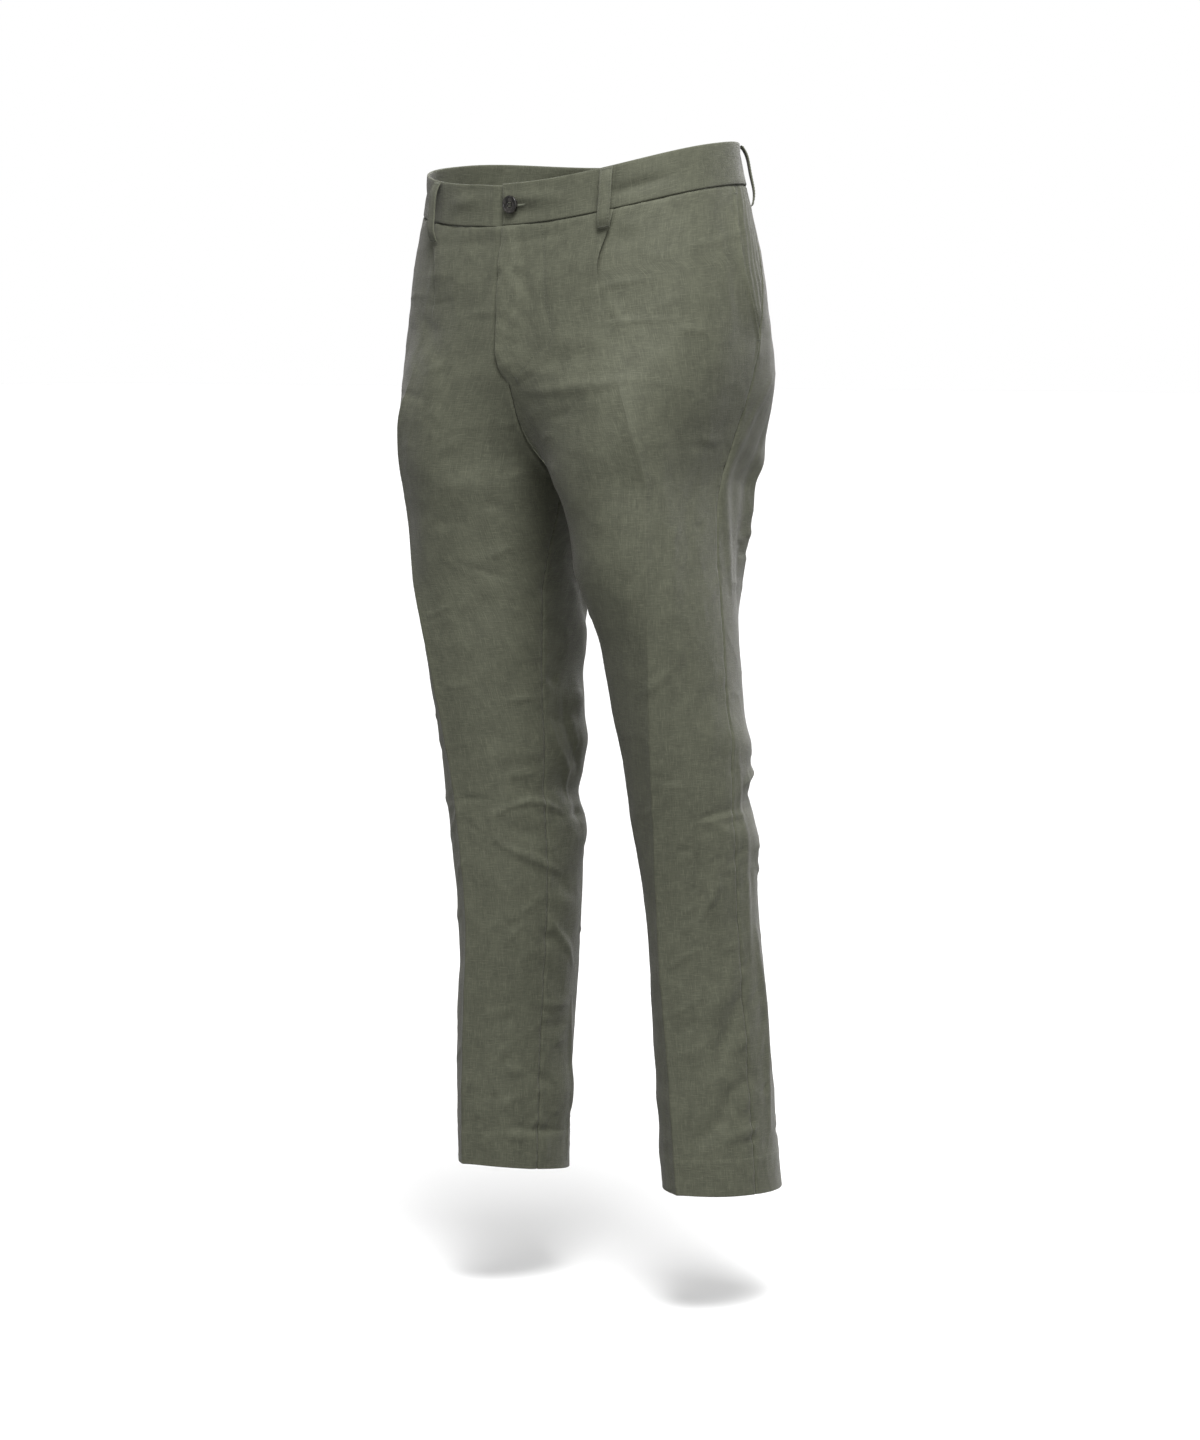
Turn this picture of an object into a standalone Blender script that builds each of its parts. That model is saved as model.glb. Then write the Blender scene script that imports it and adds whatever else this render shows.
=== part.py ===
"""Pleated linen trousers in their worn, hollow form, sewn from fronts, backs, waistband, pocket facings,
belt loops and one button.

Frame: metres, +Z up, the front faces -Y, the wearer's left is +X, and the origin is at the middle of the
waist. Every ring of cloth is a superellipse in polar form about a centre that moves from the body's middle
down into each leg. A ring's angle runs from 0 on the inner side, over 90 at the front and 180 on the outer
side, to 270 at the back. Each piece is a wall of cloth between two seams of that form, a grid of rings.
"""
import math

import bpy
import numpy as np
from mathutils import Vector

# --- cloth and seams
WALL = 0.0018
BAND_WALL = 0.0024
BAND_PROUD = BAND_WALL - WALL
SEAM_GAP = 0.0003
HALF_GAP = SEAM_GAP / 2

# --- levels on the body
BAND_TOP = 0.0165
WAIST_SEAM = -0.0225
SPLIT = -0.130
CROTCH = -0.282
KNEE_TOP = -0.460
KNEE_BOTTOM = -0.640

# --- fork: how the rings part into two legs
SPLIT_POWER = 1.5
CROTCH_CLEAR = 0.0002
VALLEY = 0.014
VALLEY_SHARE = 0.5
VALLEY_REACH = 0.75

# --- grid of a panel
YOKE_ROWS = 5
FORK_ROWS = 8
FORK_ROW_POWER = 4 / 3
THIGH_ROWS = 5
KNEE_ROWS = 8
SHIN_ROWS = 6
HALF_PANEL_COLUMNS = 6
BAND_COLUMNS = 24

# --- closing edge
FLY_LAP = 0.010
FLY_END = -0.187
FLY_TAPER = 0.035
UNDERLAP = 0.026
UNDERLAP_CLEAR = 0.0006
UNDERLAP_RAMP = 0.012

# --- inseam, which starts on the inner side of the ring and runs a little forward
INSEAM_FORWARD = math.radians(10)
INSEAM_RUN = 0.12

# --- pleat
PLEAT_DEPTH = 0.0022
PLEAT_LENGTH = 0.104
PLEAT_START = 0.012
PLEAT_STEP = 0.004
PLEAT_FADE = 0.030

# --- slanted pocket mouth, on each side
MOUTH_END = -0.155
MOUTH_TOP_FORWARD = 0.023
MOUTH_BOW = 0.027
MOUTH_LIFT = 0.0016
MOUTH_LIFT_REACH = 0.012
FACING_TUCK = 0.014
FACING_INSET = WALL + 0.0008
FACING_RISE = 0.016
FACING_ROWS = YOKE_ROWS + 1
FACING_COLUMNS = 3
TUCK_COLUMNS = 2

# --- belt loops
LOOP_WIDTH = 0.012
LOOP_WALL = 0.0015
LOOP_STAND = 0.0056
LOOP_BELOW_SEAM = 0.018
LOOP_BELOW_TOP = 0.001
LOOP_SEAT = 0.0003
LOOP_ROWS = 10
LOOP_COLUMNS = 2
FRONT_LOOP_X = 0.098
SIDE_LOOP_Y = 0.072

# --- button
BUTTON_RADIUS = 0.0083
BUTTON_THICK = 0.0031
BUTTON_DISH = 0.0009
BUTTON_RIM = 0.0017
BUTTON_ROUND = 0.0005
BUTTON_STEPS = 20
BUTTON_HOLE_RADIUS = 0.0009
BUTTON_HOLE_OFFSET = 0.0016
BUTTON_HOLE_SIDES = 8

# --- pressed creases
CREASE_WIDTH = math.radians(16)
CREASE_HEIGHT = 0.006
CREASE_FADE_TOP = -0.10
CREASE_FULL = -0.30

# --- steps used to find the cloth's slopes
ANGLE_STEP = 0.01
LEVEL_STEP = 0.002

# --- finishes: linear colour and roughness
LINEN = ((0.141, 0.147, 0.112), 0.92)
LINEN_FOLDED = ((0.118, 0.123, 0.094), 0.92)
HORN = ((0.020, 0.017, 0.015), 0.30)

# Rings of the body and legs. level: height of the ring at its centre; centre_x, centre_y: the centre; reach: x
# of the outermost point; inner: half-width towards the other leg; front, back: half-depths; front_power,
# back_power: superellipse powers, 2 being an ellipse; turn: degrees that the leg's front turns outwards; tilt:
# rise per metre towards the back; bow: rise from the middle to the side; crease_x: where the front crease
# runs; side_y: where the side seam runs.
COLUMNS = (
    "level", "centre_x", "centre_y", "reach", "inner", "front", "back", "front_power", "back_power", "turn",
    "tilt", "bow", "crease_x", "side_y",
)
BODY = (
    (0.0165, 0.000, 0.000, 0.155, 0.155, 0.106, 0.112, 2.4, 2.4, 0, 0.11, 0.018, 0.100, 0.064),
    (-0.0225, 0.000, 0.000, 0.160, 0.160, 0.105, 0.117, 2.4, 2.4, 0, 0.11, 0.018, 0.100, 0.064),
    (-0.070, 0.000, 0.000, 0.171, 0.171, 0.111, 0.129, 2.4, 2.5, 0, 0.08, 0.010, 0.098, 0.060),
    (-0.130, 0.000, 0.000, 0.180, 0.180, 0.114, 0.137, 2.3, 2.5, 0, 0.04, 0.004, 0.104, 0.048),
    (-0.185, 0.060, -0.005, 0.177, 0.150, 0.112, 0.141, 2.2, 2.6, 0, 0.01, 0.000, 0.122, 0.036),
    (-0.230, 0.080, -0.015, 0.164, 0.115, 0.104, 0.144, 2.1, 2.6, 0, 0.00, 0.000, 0.135, 0.026),
    (-0.282, 0.085, -0.025, 0.154, 0.0848, 0.093, 0.140, 2.1, 2.5, 0, 0.00, 0.000, 0.138, 0.012),
)
LEGS = {
    "left": (
        (-0.350, 0.095, -0.020, 0.160, 0.076, 0.091, 0.108, 2.1, 2.2, 4, 0.00, 0.000, 0.137, 0.000),
        (-0.430, 0.111, -0.008, 0.167, 0.061, 0.079, 0.087, 2.1, 2.1, 9, 0.00, 0.000, 0.128, -0.004),
        (-0.560, 0.121, 0.008, 0.174, 0.054, 0.068, 0.071, 2.1, 2.1, 5, 0.00, 0.000, 0.125, 0.000),
        (-0.690, 0.125, 0.025, 0.172, 0.047, 0.060, 0.062, 2.0, 2.0, 0, 0.00, 0.000, 0.122, 0.017),
        (-0.820, 0.126, 0.040, 0.175, 0.047, 0.063, 0.065, 2.0, 2.0, -3, 0.00, 0.000, 0.129, 0.032),
        (-0.951, 0.130, 0.050, 0.180, 0.048, 0.066, 0.066, 2.0, 2.0, -4, -0.06, 0.000, 0.135, 0.042),
    ),
    "right": (
        (-0.350, 0.086, -0.022, 0.145, 0.074, 0.087, 0.108, 2.1, 2.2, 3, 0.00, 0.000, 0.126, -0.004),
        (-0.430, 0.080, -0.018, 0.143, 0.066, 0.083, 0.093, 2.1, 2.1, 6, 0.00, 0.000, 0.096, -0.012),
        (-0.560, 0.075, -0.010, 0.133, 0.056, 0.071, 0.075, 2.1, 2.1, 8, 0.00, 0.000, 0.078, -0.013),
        (-0.690, 0.071, -0.005, 0.123, 0.050, 0.064, 0.066, 2.0, 2.0, 9, 0.00, 0.000, 0.070, -0.012),
        (-0.820, 0.080, 0.000, 0.128, 0.046, 0.061, 0.062, 2.0, 2.0, 10, 0.00, 0.000, 0.080, -0.007),
        (-0.950, 0.086, 0.005, 0.130, 0.043, 0.059, 0.059, 2.0, 2.0, 11, -0.10, 0.000, 0.086, -0.002),
    ),
}

# The largest folds, each a soft ridge, or a trough where its height is below 0. angle and level: its middle;
# slope: degrees that it climbs around the ring; length and width: half-lengths of the soft ellipse it fills.
FOLD_COLUMNS = ("angle", "level", "slope", "length", "width", "height")
FOLDS = {
    "left": (
        (205, -0.520, -12, 0.050, 0.018, 0.0040),
        (215, -0.578, 10, 0.045, 0.014, -0.0045),
        (230, -0.620, -15, 0.050, 0.018, 0.0035),
        (300, -0.545, 10, 0.040, 0.018, -0.0040),
    ),
    "right": (
        (318, -0.448, 5, 0.045, 0.016, -0.0040),
        (318, -0.510, 0, 0.040, 0.018, 0.0060),
        (318, -0.557, 10, 0.045, 0.015, -0.0070),
        (300, -0.620, -15, 0.050, 0.020, 0.0035),
        (240, -0.545, 12, 0.050, 0.018, -0.0040),
    ),
}

SIGN = {"left": 1.0, "right": -1.0}


def monotone_cubic(knots, values, at):
    """Read a smooth curve through rising knots, with no overshoot between them."""
    step = np.diff(knots)
    rise = np.diff(values) / step
    same_way = rise[:-1] * rise[1:] > 0
    total = np.where(same_way, rise[:-1] + rise[1:], 1.0)
    inner_slope = np.where(same_way, 2 * rise[:-1] * rise[1:] / total, 0.0)
    slope = np.concatenate([rise[:1], inner_slope, rise[-1:]])
    i = np.clip(np.searchsorted(knots, at) - 1, 0, len(step) - 1)
    t = (at - knots[i]) / step[i]
    return (
        values[i] * (1 + 2 * t) * (1 - t) ** 2
        + values[i + 1] * (3 - 2 * t) * t**2
        + step[i] * (slope[i] * t * (1 - t) ** 2 - slope[i + 1] * t**2 * (1 - t))
    )


def ease(t):
    """Smooth step from 0 to 1."""
    t = np.clip(t, 0.0, 1.0)
    return t * t * (3 - 2 * t)


class Ring:
    """Sizes of the rings of one side, each an array read from the table at the given levels."""

    def __init__(self, side, level):
        rows = np.array(sorted(BODY + LEGS[side]))
        at = {name: monotone_cubic(rows[:, 0], rows[:, i], level) for i, name in enumerate(COLUMNS)}
        self.__dict__.update(at)
        self.level = level
        down = np.clip((SPLIT - level) / (SPLIT - CROTCH), 0.0, 1.0)
        self.split = 1 - (1 - down) ** SPLIT_POWER
        in_body = level >= CROTCH
        self.centre_x = np.where(in_body, self.split * (self.inner + CROTCH_CLEAR), self.centre_x)
        self.outer = self.reach - self.centre_x
        self.valley = np.minimum(VALLEY, VALLEY_SHARE * self.inner * (1 - self.split))

    def half_sizes(self, front):
        """Half-depth and superellipse power of the front or the back half."""
        depth = np.where(front, self.front, self.back)
        return depth, np.where(front, self.front_power, self.back_power)

    def depth_at(self, x, front):
        """Depth of the ring in front of or behind its centre, at a distance from the body's middle plane."""
        across = self.centre_x - x
        half = np.where(across > 0, self.inner, self.outer)
        depth, power = self.half_sizes(front)
        return depth * np.clip(1 - (np.abs(across) / half) ** power, 0.0, None) ** (1 / power)

    def angle_at(self, x, front):
        """Angle where the ring crosses the plane at a distance from the body's middle plane."""
        angle = np.arctan2(self.depth_at(x, front), self.centre_x - x)
        return angle if front else 2 * math.pi - angle

    def angle_beside(self, y):
        """Angle on the ring's outer side at this place from front to back."""
        behind = y - self.centre_y
        depth, power = self.half_sizes(behind < 0)
        width = self.outer * np.clip(1 - (np.abs(behind) / depth) ** power, 0.0, None) ** (1 / power)
        return math.pi + np.arctan2(behind, width)

    def front_crease(self):
        """Angle of the front crease, which runs up into the pleat."""
        return self.angle_at(self.crease_x, True)

    def back_crease(self):
        """Angle of the back crease, straight behind the front one."""
        return self.angle_at(self.crease_x, False)

    def side_seam(self):
        """Angle of the side seam."""
        return self.angle_beside(self.side_y)

    def mouth(self):
        """Angle of the pocket's edge: forward of the side seam at the waist, bowed, and back on it below."""
        t = np.clip((WAIST_SEAM - self.level) / (WAIST_SEAM - MOUTH_END), 0.0, 1.0)
        forward = MOUTH_TOP_FORWARD * (1 - t) + MOUTH_BOW * np.sin(math.pi * t)
        return self.angle_beside(self.side_y - forward)

    def inseam(self):
        """Angle of the inseam, which runs forward of the ring's inner side below the crotch."""
        return INSEAM_FORWARD * ease((CROTCH - self.level) / INSEAM_RUN)


def pleat_height(level):
    """How far the pleat's upper layer stands out: from nothing at the waist seam, and fading down the hip."""
    below = WAIST_SEAM - level
    return PLEAT_DEPTH * ease(below / PLEAT_START) * ease(1 - below / PLEAT_LENGTH)


def pleat(ring, distance):
    """The pleat's upper layer lies on the front side of its edge and thins out towards the fly."""
    on_top = ease(1 - distance / PLEAT_STEP) * np.exp(-((np.minimum(distance, 0.0) / PLEAT_FADE) ** 2))
    return pleat_height(ring.level) * on_top


def creases(ring, angle):
    """Pressed creases: sharp ridges in front and behind, full down the legs and gone at the hips."""
    share = ease((CREASE_FADE_TOP - ring.level) / (CREASE_FADE_TOP - CREASE_FULL))
    front = np.exp(-np.abs(angle - ring.front_crease()) / CREASE_WIDTH)
    back = np.exp(-np.abs(angle - ring.back_crease()) / CREASE_WIDTH)
    return CREASE_HEIGHT * share * (front + back)


def folds(side, angle, level, radius):
    """Soft ridges and troughs: each is a tilted bell of the distance from its middle, measured on the ring."""
    height = np.zeros_like(radius)
    for row in FOLDS[side]:
        fold = dict(zip(FOLD_COLUMNS, row))
        around = np.sin(angle - math.radians(fold["angle"])) * radius
        facing = np.cos(angle - math.radians(fold["angle"])) > 0
        up = level - fold["level"]
        slope = math.radians(fold["slope"])
        along = around * math.cos(slope) + up * math.sin(slope)
        across = up * math.cos(slope) - around * math.sin(slope)
        bell = np.exp(-((along / fold["length"]) ** 2) - (across / fold["width"]) ** 2)
        height = height + fold["height"] * bell * facing
    return height


def surface(side, angle, level, pleated=False):
    """Points of the cloth's outer face: the ring with its creases, pleat and folds, turned and tilted."""
    angle, level = np.broadcast_arrays(angle, level)
    ring = Ring(side, level)
    cos, sin = np.cos(angle), np.sin(angle)
    front = sin > 0
    half_x = np.where(cos > 0, ring.inner, ring.outer)
    half_y, power = ring.half_sizes(front)
    radius = ((np.abs(cos) / half_x) ** power + (np.abs(sin) / half_y) ** power) ** (-1 / power)
    pleat_distance = (angle - ring.front_crease()) * radius
    radius = radius + creases(ring, angle) + folds(side, angle, level, radius)
    radius = radius + np.where(front & pleated, pleat(ring, pleat_distance), 0.0)
    x = -radius * cos
    y = -radius * sin
    turn = np.radians(ring.turn)
    across = ring.centre_x + x * np.cos(turn) - y * np.sin(turn)
    along = ring.centre_y + x * np.sin(turn) + y * np.cos(turn)
    bridged = ring.depth_at(np.hypot(across, ring.valley), front) - ring.depth_at(across, front)
    bridged = bridged * ease((VALLEY_REACH - across / ring.reach) / VALLEY_REACH * 2)
    along = along - np.where(front, 1.0, -1.0) * np.where(level > CROTCH, bridged, 0.0)
    height = level + ring.tilt * (along - ring.centre_y) + ring.bow * ((across / ring.reach) ** 2 - 0.5)
    return np.stack([SIGN[side] * across, along, height], axis=-1)


def outward(side, angle, level):
    """Unit normals of the unpleated form, from its slopes around the ring and up the body."""
    around = surface(side, angle + ANGLE_STEP, level) - surface(side, angle - ANGLE_STEP, level)
    up = surface(side, angle, level + LEVEL_STEP) - surface(side, angle, level - LEVEL_STEP)
    normal = np.cross(around, up) * SIGN[side]
    return normal / np.linalg.norm(normal, axis=-1, keepdims=True)


def cloth_wall(side, angle, level, wall, out=0.0, pleated=False):
    """Outer and inner grids of points of a wall of cloth, whose outer face is moved out from the form."""
    angle, level, out = np.broadcast_arrays(angle, level, out)
    face = surface(side, angle, level, pleated)
    normal = outward(side, angle, level)
    outer = face + normal * out[..., None]
    inner = face + normal * (out - wall)[..., None]
    return outer, inner


def wall_object(name, finish, side, walls):
    """A closed mesh object between an outer and an inner grid of points."""
    outer, inner = walls
    rows, columns = outer.shape[:2]
    points = np.concatenate([outer.reshape(-1, 3), inner.reshape(-1, 3)])
    index = np.arange(rows * columns).reshape(rows, columns)
    a, b, c, d = (part.ravel() for part in (index[:-1, :-1], index[:-1, 1:], index[1:, 1:], index[1:, :-1]))
    forward = np.linalg.norm(points[a] - points[c], axis=1) <= np.linalg.norm(points[b] - points[d], axis=1)
    near = np.stack([a, b, np.where(forward, c, d)], axis=-1)
    far = np.stack([np.where(forward, a, b), c, d], axis=-1)
    sheet = np.concatenate([near, far])
    inside = rows * columns
    edge = np.concatenate([index[0, :-1], index[:-1, -1], index[-1, :0:-1], index[:0:-1, 0]])
    following = np.roll(edge, -1)
    rim_near = np.stack([edge, edge + inside, following], axis=-1)
    rim_far = np.stack([edge + inside, following + inside, following], axis=-1)
    faces = np.concatenate([sheet, sheet[:, ::-1] + inside, rim_near, rim_far])
    if SIGN[side] > 0:
        faces = faces[:, ::-1]
    mesh = bpy.data.meshes.new(name)
    mesh.from_pydata(points.tolist(), [], faces.tolist())
    mesh.update()
    return place(name, mesh, finish)


def place(name, mesh, finish):
    """Link an object of this name into the garment's collection, with a material of its own."""
    colour, roughness = finish
    material = bpy.data.materials.new(name)
    material.use_nodes = True
    shader = material.node_tree.nodes["Principled BSDF"]
    shader.inputs["Base Color"].default_value = (*colour, 1.0)
    shader.inputs["Roughness"].default_value = roughness
    shader.inputs["Metallic"].default_value = 0.0
    mesh.materials.append(material)
    item = bpy.data.objects.new(name, mesh)
    bpy.data.collections["pleated_linen_trousers"].objects.link(item)
    return item


def panel_levels(side):
    """Levels of a panel's rings: close together at the crotch and around the knee."""
    hem = LEGS[side][-1][0]
    yoke = np.linspace(WAIST_SEAM - HALF_GAP, SPLIT, YOKE_ROWS, endpoint=False)
    down = np.arange(FORK_ROWS) / FORK_ROWS
    fork = CROTCH + (SPLIT - CROTCH) * (1 - down) ** FORK_ROW_POWER
    thigh = np.linspace(CROTCH, KNEE_TOP, THIGH_ROWS, endpoint=False)
    knee = np.linspace(KNEE_TOP, KNEE_BOTTOM, KNEE_ROWS, endpoint=False)
    shin = np.linspace(KNEE_BOTTOM, hem, SHIN_ROWS + 1)
    return np.concatenate([yoke, fork, thigh, knee, shin])


def trimmed(ring, angle, by):
    """An angle moved along the ring by a distance, to leave a seam's gap."""
    return angle + by / np.where(np.abs(np.cos(angle)) > 0.7, ring.outer, ring.front)


def fan(first, last, count):
    """Angles from one seam to another, a column each, for every ring."""
    return first[:, None] + (last - first)[:, None] * np.linspace(0.0, 1.0, count + 1)


def front_panel(side):
    """Trouser front, from the fly and inseam over the pleat and crease to the pocket mouth and side seam."""
    level = panel_levels(side)
    ring = Ring(side, level)
    lap = FLY_LAP * ease((level - FLY_END) / FLY_TAPER)
    edge_x = HALF_GAP - SIGN[side] * lap
    start = np.where(level > CROTCH, ring.angle_at(edge_x, True), ring.inseam() + HALF_GAP / ring.inner)
    end = trimmed(ring, np.minimum(ring.mouth(), ring.side_seam()), -HALF_GAP)
    crease = ring.front_crease()
    past_crease = trimmed(ring, crease, PLEAT_STEP)
    tuck = trimmed(ring, end, -FACING_TUCK)
    inner_part = fan(start, crease, HALF_PANEL_COLUMNS - 1)
    outer_part = fan(past_crease, tuck, HALF_PANEL_COLUMNS - 2)
    edge_part = fan(tuck, end, TUCK_COLUMNS)
    angle = np.concatenate([inner_part, outer_part, edge_part[:, 1:]], axis=1)
    level = np.broadcast_to(level[:, None], angle.shape)
    walls = cloth_wall(side, angle, level, WALL, mouth_lift(side, angle, level), pleated=True)
    return wall_object("front_" + side, LINEN, side, walls)


def mouth_lift(side, angle, level):
    """How far the front's edge stands open along the pocket mouth."""
    ring = Ring(side, level)
    t = np.clip((WAIST_SEAM - level) / (WAIST_SEAM - MOUTH_END), 0.0, 1.0)
    distance = (ring.mouth() - angle) * ring.outer
    return MOUTH_LIFT * np.sin(math.pi * t) * np.exp(-((distance / MOUTH_LIFT_REACH) ** 2))


def back_panel(side):
    """Trouser back, from the side seam over the back crease to the centre back seam and inseam."""
    level = panel_levels(side)
    ring = Ring(side, level)
    start = trimmed(ring, ring.side_seam(), HALF_GAP)
    inseam = 2 * math.pi + ring.inseam() - HALF_GAP / ring.inner
    end = np.where(level > CROTCH, ring.angle_at(HALF_GAP, False), inseam)
    inner_part = fan(start, ring.back_crease(), HALF_PANEL_COLUMNS)
    outer_part = fan(ring.back_crease(), end, HALF_PANEL_COLUMNS)
    angle = np.concatenate([inner_part, outer_part[:, 1:]], axis=1)
    walls = cloth_wall(side, angle, level[:, None], WALL)
    return wall_object("back_" + side, LINEN, side, walls)


def pocket_facing(side):
    """Cloth behind the pocket mouth: tucked in under the front's edge and level with the side seam behind."""
    level = panel_levels(side)[: FACING_ROWS + 1]
    ring = Ring(side, level)
    mouth = trimmed(ring, ring.mouth(), -HALF_GAP)
    end = trimmed(ring, ring.side_seam(), -HALF_GAP)
    tucked = fan(trimmed(ring, mouth, -FACING_TUCK), mouth, TUCK_COLUMNS)
    angle = np.concatenate([tucked, fan(mouth, end, FACING_COLUMNS)[:, 1:]], axis=1)
    shown = (angle - mouth[:, None]) * ring.outer[:, None]
    out = -FACING_INSET * (1 - ease(shown / FACING_RISE))
    walls = cloth_wall(side, angle, level[:, None], WALL, out)
    return wall_object("pocket_facing_" + side, LINEN_FOLDED, side, walls)


def waistband(side):
    """Half of the waistband. The left one laps over the front; the right one steps in and runs under it."""
    level = np.array([BAND_TOP, (WAIST_SEAM + BAND_TOP) / 2, WAIST_SEAM + SEAM_GAP])
    ring = Ring(side, level)
    if side == "left":
        first = ring.angle_at(-FLY_LAP, True)
        angle = fan(first, ring.angle_at(HALF_GAP, False), BAND_COLUMNS)
        out = 0.0
    else:
        tuck_x = FLY_LAP + UNDERLAP_CLEAR
        tucked = fan(ring.angle_at(-UNDERLAP, True), ring.angle_at(tuck_x, True), 3)
        shown = fan(ring.angle_at(tuck_x + UNDERLAP_RAMP, True), ring.angle_at(HALF_GAP, False), BAND_COLUMNS)
        angle = np.concatenate([tucked, shown], axis=1)
        under = np.arange(angle.shape[1]) < tucked.shape[1]
        out = np.where(under, -(BAND_WALL + SEAM_GAP), 0.0)
    walls = cloth_wall(side, angle, level[:, None], BAND_WALL, out + BAND_PROUD)
    return wall_object("waistband_" + side, LINEN, side, walls)


def belt_loop(name, side, middle, foot):
    """A flat strip tacked at the band's top and below its seam, standing off the band between them."""
    level = np.linspace(BAND_TOP - LOOP_BELOW_TOP, WAIST_SEAM - LOOP_BELOW_SEAM, LOOP_ROWS + 1)
    centre = middle(Ring(side, level))
    up = np.linspace(1.0, 0.0, LOOP_ROWS + 1)
    stand = foot * (1 - up) + BAND_PROUD * up + LOOP_STAND * (1 - (2 * up - 1) ** 4)
    face = surface(side, centre, level)
    normal = outward(side, centre, level)
    across = surface(side, centre + ANGLE_STEP, level) - surface(side, centre - ANGLE_STEP, level)
    across = across / np.linalg.norm(across, axis=-1, keepdims=True)
    shift = across[:, None] * np.linspace(-LOOP_WIDTH / 2, LOOP_WIDTH / 2, LOOP_COLUMNS + 1)[:, None]
    inner = (face + normal * (stand + LOOP_SEAT)[:, None])[:, None] + shift
    walls = inner + normal[:, None] * LOOP_WALL, inner
    return wall_object(name, LINEN_FOLDED, side, walls)


def belt_loops():
    """Five loops: over each pleat, behind each side seam and over the centre back seam."""
    pleat_foot = pleat_height(WAIST_SEAM - LOOP_BELOW_SEAM)
    for side in SIGN:
        belt_loop("belt_loop_front_" + side, side, lambda ring: ring.angle_at(FRONT_LOOP_X, True), pleat_foot)
        belt_loop("belt_loop_side_" + side, side, lambda ring: ring.angle_beside(SIDE_LOOP_Y), 0.0)
    belt_loop("belt_loop_back", "left", lambda ring: ring.angle_at(0.0, False), 0.0)


def hole_cutter(frame):
    """Four pegs that cut the thread holes, in a square about the button's middle."""
    bpy.ops.mesh.primitive_cylinder_add(
        vertices=BUTTON_HOLE_SIDES, radius=BUTTON_HOLE_RADIUS, depth=4 * BUTTON_THICK
    )
    cutter = bpy.context.object
    cutter.name = "button_hole_cutter"
    mesh = cutter.data
    peg = np.array([vertex.co for vertex in mesh.vertices])
    sides = [tuple(face.vertices) for face in mesh.polygons]
    offsets = [(i * BUTTON_HOLE_OFFSET, j * BUTTON_HOLE_OFFSET, 0.0) for i in (-1, 1) for j in (-1, 1)]
    points = np.concatenate([peg + offset for offset in offsets])
    faces = [tuple(v + k * len(peg) for v in face) for k in range(len(offsets)) for face in sides]
    mesh.clear_geometry()
    mesh.from_pydata(points.tolist(), [], faces)
    for collection in list(cutter.users_collection):
        collection.objects.unlink(cutter)
    bpy.data.collections["cutters"].objects.link(cutter)
    cutter.matrix_world = frame
    cutter.hide_render = True
    cutter.display_type = "WIRE"
    return cutter


def waist_button():
    """Turned horn button with a rim, a dished middle and four holes, lying on the lapped end."""
    level = np.array([(WAIST_SEAM + BAND_TOP) / 2])
    angle = Ring("left", level).angle_at(0.0, True)
    face = surface("left", angle, level)[0]
    normal = outward("left", angle, level)[0]
    radius, thick = BUTTON_RADIUS, BUTTON_THICK
    profile = [
        (0.0, thick - BUTTON_DISH),
        (radius - 2 * BUTTON_RIM, thick - BUTTON_DISH),
        (radius - BUTTON_RIM, thick),
        (radius - BUTTON_ROUND, thick - BUTTON_ROUND / 3),
        (radius, thick - 2 * BUTTON_ROUND),
        (radius, BUTTON_ROUND),
        (radius - BUTTON_ROUND, 0.0),
        (0.0, 0.0),
    ]
    mesh = bpy.data.meshes.new("waist_button")
    mesh.from_pydata([(x, 0.0, z) for x, z in profile], [(i, i + 1) for i in range(len(profile) - 1)], [])
    button = place("waist_button", mesh, HORN)
    turn = button.modifiers.new("turned", "SCREW")
    turn.axis = "Z"
    turn.steps = BUTTON_STEPS
    turn.render_steps = BUTTON_STEPS
    turn.use_merge_vertices = True
    turn.merge_threshold = 0.00005
    frame = Vector(normal).to_track_quat("Z", "Y").to_matrix().to_4x4()
    frame.translation = Vector(face + normal * (BAND_PROUD + SEAM_GAP))
    button.matrix_world = frame
    holes = button.modifiers.new("thread_holes", "BOOLEAN")
    holes.operation = "DIFFERENCE"
    holes.object = hole_cutter(frame)
    return button


def main():
    """Build the garment in its collection."""
    for item in list(bpy.data.objects):
        bpy.data.objects.remove(item)
    for name in ("pleated_linen_trousers", "cutters"):
        bpy.context.scene.collection.children.link(bpy.data.collections.new(name))
    for side in SIGN:
        front_panel(side)
        back_panel(side)
        pocket_facing(side)
        waistband(side)
    belt_loops()
    waist_button()


if __name__ == "__main__":
    main()
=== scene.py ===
"""Pleated linen trousers in the hollow form that a body gives them, with their finished cloth, seams, stitching
and button.

Frame: metres, +Z up, the front faces -Y, the wearer's left is +X, the origin is at the middle of the waist.
Every ring of cloth is a superellipse in polar form about a centre that moves from the body's middle down into
each leg. A ring's angle runs from 0 on the inner side, over 90 at the front and 180 on the outer side, to 270
at the back. Each piece is a thin wall of cloth on a grid of rings, with creases, wrinkles and rolled seams.
"""
import math

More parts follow.
